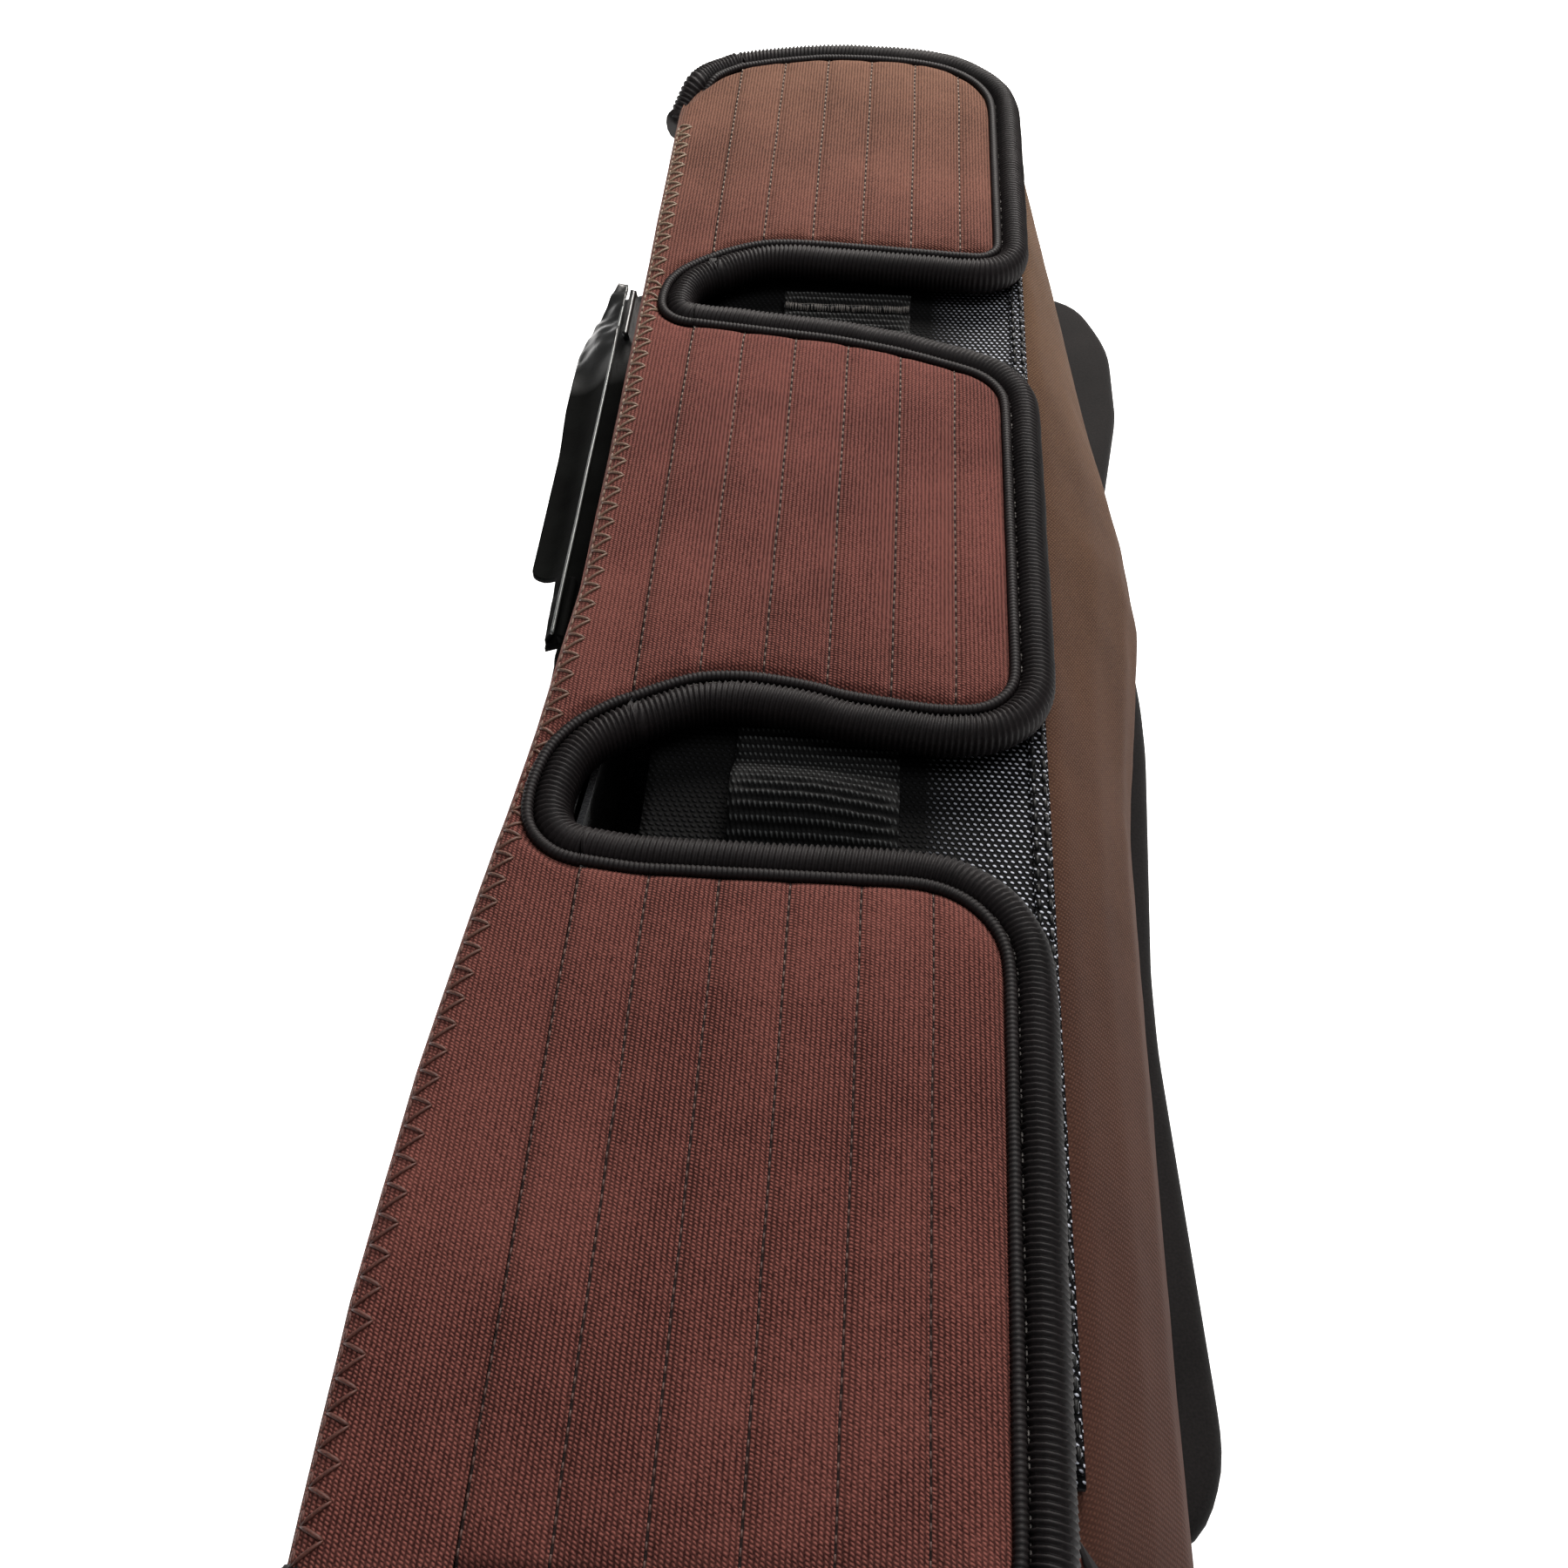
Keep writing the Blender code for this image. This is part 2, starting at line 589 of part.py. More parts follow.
def shoulder_strap(side, outline):
    """One padded shoulder strap with its fleece facing, buckle, webbing tail and anchor."""
    shape = fillet_path(outline, closed=True)
    centre_x = STRAP_CENTRE[side]
    finish(f"{side}_strap_fleece", slab(shape, (0.0, STRAP_FLEECE_TOP)), FLEECE_GREY)
    finish(f"{side}_strap_pad", slab(shape, (STRAP_FLEECE_TOP + GAP, PAD_TOP)), BLACK_KNIT)
    foot = outline[0][1] - 0.0015
    finish(f"{side}_strap_buckle", barred_frame(centre_x, foot), PLASTIC_BLACK, 0.4)
    tail_x = (centre_x - TAIL_HALF_WIDTH, centre_x + TAIL_HALF_WIDTH)
    finish(f"{side}_strap_tail", slab(rectangle(tail_x, (TAIL_END, foot - 0.001)), TAIL_LEVEL),
           WEBBING_BLACK, 0.6)
    anchor = [(centre_x - 0.018, TAIL_END), (centre_x + 0.016, -0.240),
              (centre_x + 0.012, -0.224), (centre_x - 0.014, -0.224)]
    finish(f"{side}_strap_anchor", slab(anchor, ANCHOR_LEVEL), BLACK_KNIT)


def back():
    """Shoulder straps and the two back pads that the bag lies on."""
    shoulder_strap("right", STRAP_RIGHT)
    shoulder_strap("left", STRAP_LEFT)
    half = BACK_PAD_HALF_WIDTH
    for name, (low, high) in (("lower", (-0.222, -0.020)), ("upper", (-0.008, 0.150))):
        corners = [(x, y, 0.014) for x, y in rectangle((-half, half), (low, high))]
        finish(f"{name}_back_pad", slab(fillet_path(corners, closed=True), (0.0, PAD_TOP)),
               MESH_GREY)
    yoke = [(x, y, 0.010) for x, y in rectangle((-0.022, 0.022), (0.162, 0.236))]
    finish("strap_yoke", slab(fillet_path(yoke, closed=True), (0.0040, PAD_TOP)), BLACK_KNIT)


clear_scene()
tub()
quilted_front()
apron()
side_handle()
back()
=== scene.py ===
"""Looks of the padded gig bag: quilted flaps, ribbed binding, knit walls, mesh and webbing.

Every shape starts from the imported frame: outlines are read from its nodes, wall surfaces are
found by casting rays at its walls, and levels come from its boxes.
"""
import math

import bmesh
import bpy
import numpy as np
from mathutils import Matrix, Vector, noise
from mathutils.bvhtree import BVHTree


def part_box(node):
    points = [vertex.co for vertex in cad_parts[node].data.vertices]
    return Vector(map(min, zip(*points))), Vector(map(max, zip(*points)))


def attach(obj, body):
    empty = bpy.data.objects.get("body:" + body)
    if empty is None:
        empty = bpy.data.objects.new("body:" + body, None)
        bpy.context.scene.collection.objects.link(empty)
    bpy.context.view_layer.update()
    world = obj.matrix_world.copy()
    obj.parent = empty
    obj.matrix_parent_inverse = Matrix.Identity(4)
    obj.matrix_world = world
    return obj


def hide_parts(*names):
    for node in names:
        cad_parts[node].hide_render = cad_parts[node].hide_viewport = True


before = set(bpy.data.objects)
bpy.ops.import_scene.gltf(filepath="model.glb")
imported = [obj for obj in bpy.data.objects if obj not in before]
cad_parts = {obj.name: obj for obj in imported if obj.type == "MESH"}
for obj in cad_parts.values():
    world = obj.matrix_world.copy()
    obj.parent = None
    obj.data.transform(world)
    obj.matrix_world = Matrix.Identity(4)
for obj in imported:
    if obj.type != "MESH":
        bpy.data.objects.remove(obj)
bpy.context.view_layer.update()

BAG = "bag"
FLAP_NAMES = ("upper_flap", "middle_flap", "lower_flap")
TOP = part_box("upper_flap_cover")[1][2]          # level of the quilted front


# --- Reading the frame ----------------------------------------------------------------------

def loop_of(node, lean=0.9):
    """The closed outline of a node's upper face, anticlockwise in plan, as 3-D points.

    Faces whose normal leans further from +Z than lean allows are not part of it.
    """
    mesh = bmesh.new()
    mesh.from_mesh(bpy.data.objects[node].data)
    bmesh.ops.remove_doubles(mesh, verts=mesh.verts, dist=1e-5)
    inside = {f for f in mesh.faces if f.normal.z > lean}
    follow = {}
    for face in inside:
        for loop in face.loops:
            if sum(f in inside for f in loop.edge.link_faces) == 1:
                follow[loop.vert.index] = loop.link_loop_next.vert.index
    mesh.verts.ensure_lookup_table()
    start = max(follow, key=lambda i: mesh.verts[i].co.z)
    order = [start]
    while follow[order[-1]] != start:
        order.append(follow[order[-1]])
    points = [mesh.verts[i].co.copy() for i in order]
    mesh.free()
    return points


def plan_of(node):
    """The closed plan outline of a node's upper face, as 2-D points."""
    return [p.to_2d() for p in loop_of(node)]


def nearest_index(points, target):
    """Index of the point nearest to target."""
    return min(range(len(points)), key=lambda i: (points[i] - target).length)


def chain_between(loop, start, end):
    """The stretch of a closed loop from nearest start to nearest end, in its own direction."""
    first = nearest_index(loop, Vector(start))
    last = nearest_index(loop, Vector(end))
    if last < first:
        last += len(loop)
    return [loop[i % len(loop)] for i in range(first, last + 1)]


def round_off(chain, times=2):
    """Corner cutting, which turns a faceted arc into a smooth one and keeps the two ends."""
    for _ in range(times):
        cut = [chain[0]]
        for a, b in zip(chain, chain[1:]):
            if (b - a).length < 0.012:
                cut += [a.lerp(b, 0.25), a.lerp(b, 0.75)]
            else:
                margin = 0.003 / (b - a).length
                cut += [a.lerp(b, margin), a.lerp(b, 1 - margin)]
        cut.append(chain[-1])
        chain = cut
    return chain


def resample(chain, spacing):
    """Points at even distances along a chain of any dimension."""
    lengths = [0.0]
    for a, b in zip(chain, chain[1:]):
        lengths.append(lengths[-1] + (b - a).length)
    count = max(2, round(lengths[-1] / spacing))
    points = []
    index = 0
    for step in range(count + 1):
        target = lengths[-1] * step / count
        while index < len(chain) - 2 and lengths[index + 1] < target:
            index += 1
        run = lengths[index + 1] - lengths[index]
        share = 0 if run == 0 else (target - lengths[index]) / run
        points.append(chain[index].lerp(chain[index + 1], min(1, max(0, share))))
    return points


def outward_normals(chain):
    """Unit normals on the right of each point's direction of travel."""
    normals = []
    for i in range(len(chain)):
        way = chain[min(i + 1, len(chain) - 1)] - chain[max(i - 1, 0)]
        normals.append(Vector((way.y, -way.x)).normalized())
    return normals


def pushed_out(chain, distance):
    """A chain moved outward."""
    return [p + n * distance for p, n in zip(chain, outward_normals(chain))]


def span(loop, value, axis):
    """Lowest and highest crossing of a closed outline with the line axis = value."""
    other = 1 - axis
    found = []
    for i, a in enumerate(loop):
        b = loop[(i + 1) % len(loop)]
        low, high = sorted((a[axis], b[axis]))
        if low <= value <= high and high > low:
            share = (value - a[axis]) / (b[axis] - a[axis])
            found.append(a[other] + (b[other] - a[other]) * share)
    return min(found), max(found)


def distance_to(chain, x, y):
    """Distance of each (x, y) to a polyline, as an array."""
    points = np.stack([x, y], axis=-1)
    best = np.full(x.shape, 1.0)
    for a, b in zip(chain, chain[1:]):
        start = np.array(a)
        way = np.array(b) - start
        size = float(way @ way)
        if size == 0:
            continue
        share = np.clip(((points - start) @ way) / size, 0, 1)
        gap = np.linalg.norm(points - start - share[..., None] * way, axis=-1)
        best = np.minimum(best, gap)
    return best


def smooth_ramp(value):
    """A smooth ramp from 0 to 1, on arrays or numbers."""
    value = np.clip(value, 0.0, 1.0)
    return value * value * (3 - 2 * value)


def ripple(x, y, scale, seed=0.0):
    """Soft noise on arrays of points, from -1 to 1."""
    flat = [noise.noise(Vector((a * scale, b * scale, seed))) for a, b in zip(x.ravel(), y.ravel())]
    return np.array(flat).reshape(x.shape)


# --- Pieces -----------------------------------------------------------------------------------

def piece(name, verts, faces, material, slot, body=BAG, smooth=True):
    """A mesh piece that rides on a body; its slot argument is not used."""
    data = bpy.data.meshes.new(name)
    data.from_pydata([tuple(v) for v in verts], [], faces)
    data.validate()
    shape = bmesh.new()
    shape.from_mesh(data)
    bmesh.ops.recalc_face_normals(shape, faces=shape.faces)
    shape.to_mesh(data)
    shape.free()
    if smooth:
        data.shade_smooth()
    made = bpy.data.objects.new(name, data)
    data.materials.append(material)
    bpy.context.collection.objects.link(made)
    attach(made, body)
    return made


def grid_faces(columns, rows, base=0, flip=False):
    """Quads of a grid whose points run along rows first."""
    faces = []
    for i in range(columns - 1):
        for j in range(rows - 1):
            a = base + i * rows + j
            quad = (a, a + rows, a + rows + 1, a + 1)
            faces.append(quad[::-1] if flip else quad)
    return faces


def sheet_pair(top, bottom):
    """A closed body between two grids of the same shape, of points (columns, rows, 3)."""
    columns, rows = top.shape[:2]
    count = columns * rows
    verts = list(top.reshape(-1, 3)) + list(bottom.reshape(-1, 3))
    faces = grid_faces(columns, rows) + grid_faces(columns, rows, count, flip=True)
    rim = [i * rows for i in range(columns)]
    rim += [(columns - 1) * rows + j for j in range(1, rows)]
    rim += [i * rows + rows - 1 for i in range(columns - 2, -1, -1)]
    rim += list(range(rows - 2, 0, -1))
    for a, b in zip(rim, rim[1:] + rim[:1]):
        faces.append((b, a, a + count, b + count))
    return verts, faces


def swept(path, section, ups=None, closed=False):
    """A tube along a 3-D path. section(i) gives the (side, up) points of ring i."""
    verts, faces = [], []
    total = len(path)
    for i, point in enumerate(path):
        after = path[(i + 1) % total] if closed else path[min(i + 1, total - 1)]
        before = path[i - 1] if closed else path[max(i - 1, 0)]
        along = (after - before).normalized()
        up = ups[i] if ups else Vector((0, 0, 1))
        side = along.cross(up).normalized()
        up = side.cross(along)
        ring = section(i)
        verts += [point + side * a + up * b for a, b in ring]
    size = len(ring)
    last = total if closed else total - 1
    for i in range(last):
        for k in range(size):
            a, b = i * size + k, i * size + (k + 1) % size
            j = (i + 1) % total
            faces.append((a, b, j * size + (k + 1) % size, j * size + k))
    if not closed:
        faces.append(tuple(range(size - 1, -1, -1)))
        faces.append(tuple((total - 1) * size + k for k in range(size)))
    return verts, faces


def ellipse(wide, high, sides, turn=0.0):
    """Points of an ellipse as (side, up) pairs."""
    return [(wide * math.cos(2 * math.pi * k / sides + turn),
             high * math.sin(2 * math.pi * k / sides + turn)) for k in range(sides)]


def threads(runs, radius, sides=6):
    """Short rounded thread tubes, each along its own few points, in one mesh."""
    verts, faces = [], []
    for run in runs:
        count = len(run)

        def ring(i):
            share = 0.45 if i in (0, count - 1) else 1.0
            return ellipse(radius * share, radius * share, sides)

        made, quads = swept(run, ring)
        base = len(verts)
        verts += made
        faces += [tuple(base + k for k in quad) for quad in quads]
    return verts, faces


def stitch_runs(path, length, gap, lift=0.0, sink=0.00035):
    """Splits a 3-D path into stitches that dive into the fabric at both ends."""
    step = length + gap
    points = resample(path, step / 6)
    runs = []
    index = 0
    while index + 4 < len(points):
        part = [p.copy() for p in points[index:index + 5]]
        for p in part:
            p.z += lift
        part[0].z -= sink
        part[-1].z -= sink
        runs.append(part)
        index += 6
    return runs


# --- Materials --------------------------------------------------------------------------------

def node_material(name, roughness, sheen=0.0, sheen_tint=(1, 1, 1), coat=0.0):
    """A Principled material with constants on its own sockets, and its node tree."""
    made = bpy.data.materials.new(name)
    made.use_nodes = True
    tree = made.node_tree
    shader = tree.nodes["Principled BSDF"]
    shader.inputs["Roughness"].default_value = roughness
    shader.inputs["Sheen Weight"].default_value = sheen
    shader.inputs["Sheen Roughness"].default_value = 0.45
    shader.inputs["Sheen Tint"].default_value = (*sheen_tint, 1.0)
    shader.inputs["Coat Weight"].default_value = coat
    return made, tree, shader


def add(tree, kind, **values):
    """A node with some of its inputs or properties set."""
    node = tree.nodes.new(kind)
    for key, value in values.items():
        if key in node.inputs:
            node.inputs[key].default_value = value
        else:
            setattr(node, key, value)
    return node


def math_node(tree, operation, a, b=None, clamp=False):
    """A Math node on sockets or numbers; its output socket."""
    node = tree.nodes.new("ShaderNodeMath")
    node.operation = operation
    node.use_clamp = clamp
    for slot_index, value in enumerate((a, b)):
        if value is None:
            continue
        if isinstance(value, (int, float)):
            node.inputs[slot_index].default_value = value
        else:
            tree.links.new(value, node.inputs[slot_index])
    return node.outputs[0]


def coordinates(tree, rotation=0.0, scale=(1, 1, 1)):
    """Object coordinates in metres, turned about Z and scaled."""
    source = add(tree, "ShaderNodeTexCoord")
    mapping = add(tree, "ShaderNodeMapping")
    mapping.inputs["Rotation"].default_value = (0, 0, rotation)
    mapping.inputs["Scale"].default_value = scale
    tree.links.new(source.outputs["Object"], mapping.inputs["Vector"])
    return mapping.outputs["Vector"]


def axes(tree, vector):
    """The three parts of a vector socket."""
    split = add(tree, "ShaderNodeSeparateXYZ")
    tree.links.new(vector, split.inputs[0])
    return split.outputs


def noise_at(tree, vector, scale, detail=3.0, roughness=0.5):
    """A noise texture's value."""
    node = add(tree, "ShaderNodeTexNoise", Scale=scale, Detail=detail, Roughness=roughness)
    tree.links.new(vector, node.inputs["Vector"])
    return node.outputs[0]


def ramp(tree, value, stops):
    """A colour ramp over a value."""
    node = add(tree, "ShaderNodeValToRGB")
    band = node.color_ramp
    while len(band.elements) < len(stops):
        band.elements.new(0.5)
    for element, (place, colour) in zip(band.elements, stops):
        element.position = place
        element.color = (*colour, 1.0)
    tree.links.new(value, node.inputs[0])
    return node.outputs[0]


def mix(tree, factor, first, second, blend="MIX"):
    """A colour mix of two sockets or colours."""
    node = add(tree, "ShaderNodeMix", data_type="RGBA", blend_type=blend)
    for socket, value in ((node.inputs[0], factor), (node.inputs[6], first), (node.inputs[7], second)):
        if isinstance(value, (int, float)):
            socket.default_value = value
        elif isinstance(value, tuple):
            socket.default_value = (*value, 1.0)
        else:
            tree.links.new(value, socket)
    return node.outputs[2]


def bump(tree, shader, height, distance, strength=1.0):
    """Bump from a height value, in metres."""
    node = add(tree, "ShaderNodeBump", Strength=strength, Distance=distance)
    tree.links.new(height, node.inputs["Height"])
    tree.links.new(node.outputs[0], shader.inputs["Normal"])


def wave(tree, value, pitch, phase=None):
    """A sine of a coordinate in metres with the given pitch, from 0 to 1."""
    turned = math_node(tree, "MULTIPLY", value, 2 * math.pi / pitch)
    if phase is not None:
        turned = math_node(tree, "ADD", turned, phase)
    sine = math_node(tree, "SINE", turned)
    return math_node(tree, "ADD", math_node(tree, "MULTIPLY", sine, 0.5), 0.5)


# Side colours at the foot end, darker and redder than at the head: painted shade.
REDDISH_SIDE = ((0.022, 0.0080, 0.0055), (0.084, 0.034, 0.0225))


def knit_material(name, dark, light, wale=0.0010, plane="XY", sheen=0.08, relief=0.50):
    """Brushed weft knit: rows of slanted loops, and a nap that shifts the colour. Towards the head end the top is
    lightened as painted sheen and light; the sides run from a lighter head colour to a darker reddish foot, painted
    light and shade.
    """
    made, tree, shader = node_material(name, 0.95, sheen, (1.0, 0.62, 0.50))
    shader.inputs["Specular IOR Level"].default_value = 0.12
    vector = coordinates(tree)
    parts = axes(tree, vector)
    if plane == "slope":
        down = math_node(tree, "SUBTRACT", math_node(tree, "MULTIPLY", parts[2], 0.75),
                         math_node(tree, "MULTIPLY", parts[0], 0.66))
        across, along = parts[1], down
    else:
        across, along = (parts[0], parts[1]) if plane == "XY" else (parts[0], parts[2])
    wobble = noise_at(tree, vector, 900.0, 1.0)
    phase = math_node(tree, "MULTIPLY", wobble, 3.0)
    wales = wave(tree, across, wale, phase)
    slant = math_node(tree, "ADD", along, math_node(tree, "MULTIPLY", across, 0.55))
    courses = wave(tree, slant, wale * 0.72, phase)
    loops = math_node(tree, "MULTIPLY", wales, courses)
    nap = noise_at(tree, vector, 26.0, 4.0, 0.6)
    fuzz = noise_at(tree, vector, 1500.0, 2.0)
    shade = math_node(tree, "ADD", math_node(tree, "MULTIPLY", loops, relief),
                      math_node(tree, "MULTIPLY", nap, 0.30))
    shade = math_node(tree, "ADD", shade, math_node(tree, "MULTIPLY", fuzz, 0.30))
    middle = 0.30 + relief * 0.25
    colour = ramp(tree, shade, [(middle - 0.17, dark), (middle + 0.21, light)])
    # Painted sheen and light: the top's colour turns lighter and more orange towards the head end, where the window
    # light falls.
    if plane == "XY":
        sheen_towards_head = math_node(tree, "MULTIPLY", math_node(tree, "SUBTRACT", parts[1], 0.09), 5.5, clamp=True)
        head = ramp(tree, shade, [(middle - 0.17, SHEEN_LIT_HEAD_TOP[0]), (middle + 0.21, SHEEN_LIT_HEAD_TOP[1])])
        colour = mix(tree, sheen_towards_head, colour, head)
    # Painted light and shade: the sides' colour darkens to a reddish brown towards the foot end.
    if plane == "slope":
        sheen_towards_head = math_node(tree, "ADD", math_node(tree, "MULTIPLY", parts[1], 2.3), 0.42, clamp=True)
        foot = ramp(tree, shade, [(middle - 0.24, REDDISH_SIDE[0]), (middle + 0.30, REDDISH_SIDE[1])])
        colour = mix(tree, sheen_towards_head, foot, colour)
    tree.links.new(colour, shader.inputs["Base Color"])
    height = math_node(tree, "ADD", math_node(tree, "MULTIPLY", loops, 2 * relief),
                       math_node(tree, "MULTIPLY", fuzz, 0.5))
    bump(tree, shader, height, 0.00024, 0.60)
    return made


def rib_material(name, dark, light, roughness, scale, sheen=0.0, coat=0.0):
    """Thread-like cloth for ribbed tapes whose ribs are real geometry."""
    made, tree, shader = node_material(name, roughness, sheen, (0.9, 0.82, 0.85), coat)
    shader.inputs["Specular IOR Level"].default_value = 0.25
    vector = coordinates(tree)
    fine = noise_at(tree, vector, scale, 3.0)
    wide = noise_at(tree, vector, 45.0, 2.0)
    value = math_node(tree, "ADD", math_node(tree, "MULTIPLY", fine, 0.6),
                      math_node(tree, "MULTIPLY", wide, 0.4))
    colour = ramp(tree, value, [(0.3, dark), (0.7, light)])
    tree.links.new(colour, shader.inputs["Base Color"])
    bump(tree, shader, fine, 0.00010, 0.5)
    return made


def head_lit_thread(name, near, far):
    """Sewing thread whose colour runs from near at the foot to far at the head: the lighter head end is painted
    light and the darker foot painted shade, as on the knit.
    """
    made, tree, shader = node_material(name, 0.6)
    vector = coordinates(tree)
    place = math_node(tree, "ADD", math_node(tree, "MULTIPLY", axes(tree, vector)[1], 2.6), 0.45, clamp=True)
    fine = noise_at(tree, vector, 2600.0, 2.0)
    colour = mix(tree, place, ramp(tree, fine, [(0.3, near[0]), (0.7, near[1])]),
                 ramp(tree, fine, [(0.3, far[0]), (0.7, far[1])]))
    tree.links.new(colour, shader.inputs["Base Color"])
    return made


def mesh_material(name, pitch, dark, light, slant=0.5, cover=0.5, lit=None):
    """Two-tone woven mesh: rows of light picks over a black ground, made almost black left of lit as painted shade
    under the flaps.
    """
    made, tree, shader = node_material(name, 0.75)
    shader.inputs["Specular IOR Level"].default_value = 0.10
    vector = coordinates(tree)
    parts = axes(tree, vector)
    wobble = math_node(tree, "MULTIPLY", noise_at(tree, vector, 420.0, 2.0), 2.4)
    rows = wave(tree, parts[1], pitch * 0.9, wobble)
    half = math_node(tree, "MULTIPLY", parts[1], slant)
    picks = wave(tree, math_node(tree, "ADD", parts[0], half), pitch, wobble)
    weave = math_node(tree, "MULTIPLY", rows, picks)
    fine = noise_at(tree, vector, 1900.0, 2.0)
    worn = noise_at(tree, vector, 55.0, 3.0)
    value = math_node(tree, "ADD", weave, math_node(tree, "MULTIPLY", worn, 0.22))
    value = math_node(tree, "ADD", value, math_node(tree, "MULTIPLY", fine, 0.18))
    colour = ramp(tree, value, [(cover, dark), (cover + 0.16, light)])
    if lit is not None:
        # Painted shade: left of lit, where the flaps shadow the mesh, its colour is made almost black.
        share = math_node(tree, "MULTIPLY", math_node(tree, "SUBTRACT", parts[0], lit), 60.0, clamp=True)
        flap_shade = ramp(tree, value, [(cover, (0.001, 0.001, 0.001)), (cover + 0.16, (0.007, 0.007, 0.008))])
        colour = mix(tree, share, flap_shade, colour)
    tree.links.new(colour, shader.inputs["Base Color"])
    bump(tree, shader, weave, 0.0005, 0.9)
    return made


def webbing_material(name, rib):
    """Black webbing whose rib crests carry short paler picks."""
    made, tree, shader = node_material(name, 0.7)
    shader.inputs["Specular IOR Level"].default_value = 0.12
    vector = coordinates(tree)
    parts = axes(tree, vector)
    crest = wave(tree, math_node(tree, "ADD", parts[1], rib / 4), rib)
    lean = math_node(tree, "MULTIPLY", parts[1], 0.3)
    picks = wave(tree, math_node(tree, "ADD", parts[0], lean), 0.0012)
    fine = noise_at(tree, vector, 1700.0, 3.0)
    value = math_node(tree, "MULTIPLY", crest, picks)
    value = math_node(tree, "ADD", value, math_node(tree, "MULTIPLY", fine, 0.25))
    colour = ramp(tree, value, [(0.60, (0.0012, 0.0012, 0.0013)), (1.0, (0.050, 0.052, 0.052))])
    tree.links.new(colour, shader.inputs["Base Color"])
    bump(tree, shader, math_node(tree, "ADD", picks, fine), 0.00022, 0.7)
    return made


def vinyl_material():
    """Soft black vinyl with fine grain and a glossy skin."""
    made, tree, shader = node_material("vinyl", 0.42)
    vector = coordinates(tree)
    glossy = math_node(tree, "MULTIPLY", math_node(tree, "SUBTRACT", axes(tree, vector)[1], 0.078), 70.0,
                       clamp=True)
    tree.links.new(math_node(tree, "SUBTRACT", 0.80, math_node(tree, "MULTIPLY", glossy, 0.46)),
                   shader.inputs["Roughness"])
    tree.links.new(math_node(tree, "ADD", 0.03, math_node(tree, "MULTIPLY", glossy, 0.75)),
                   shader.inputs["Specular IOR Level"])
    crease = noise_at(tree, vector, 60.0, 4.0, 0.55)
    grain = noise_at(tree, vector, 1300.0, 2.0)
    colour = ramp(tree, crease, [(0.3, (0.0012, 0.0012, 0.0012)), (0.75, (0.0045, 0.005, 0.0045))])
    tree.links.new(colour, shader.inputs["Base Color"])
    height = math_node(tree, "ADD", crease, math_node(tree, "MULTIPLY", grain, 0.10))
    bump(tree, shader, height, 0.0010, 0.35)
    return made


def fleece_material(name, dark, light, scale=700.0):
    """Short looped pile."""
    made, tree, shader = node_material(name, 0.97, 0.5)
    vector = coordinates(tree)
    curls = noise_at(tree, vector, scale, 3.0, 0.7)
    patches = noise_at(tree, vector, 40.0, 2.0)
    value = math_node(tree, "ADD", math_node(tree, "MULTIPLY", curls, 0.75),
                      math_node(tree, "MULTIPLY", patches, 0.25))
    colour = ramp(tree, value, [(0.32, dark), (0.68, light)])
    tree.links.new(colour, shader.inputs["Base Color"])
    bump(tree, shader, curls, 0.0009, 0.8)
    return made


def plastic_material(name, colour, roughness, grain=2500.0):
    """Moulded plastic with a fine spark texture."""
    made, tree, shader = node_material(name, roughness)
    vector = coordinates(tree)
    speckle = noise_at(tree, vector, grain, 2.0)
    light = tuple(min(1.0, c * 1.6) for c in colour)
    shade = ramp(tree, speckle, [(0.3, colour), (0.8, light)])
    tree.links.new(shade, shader.inputs["Base Color"])
    bump(tree, shader, speckle, 0.00006, 0.5)
    return made


KNIT_DARK = (0.030, 0.0085, 0.0070)
KNIT_LIGHT = (0.236, 0.082, 0.066)
# Top colours at the head end, lighter than the brown knit: painted sheen and light.
SHEEN_LIT_HEAD_TOP = ((0.034, 0.0160, 0.0100), (0.240, 0.130, 0.084))
WEBBING_RIB = 0.0026
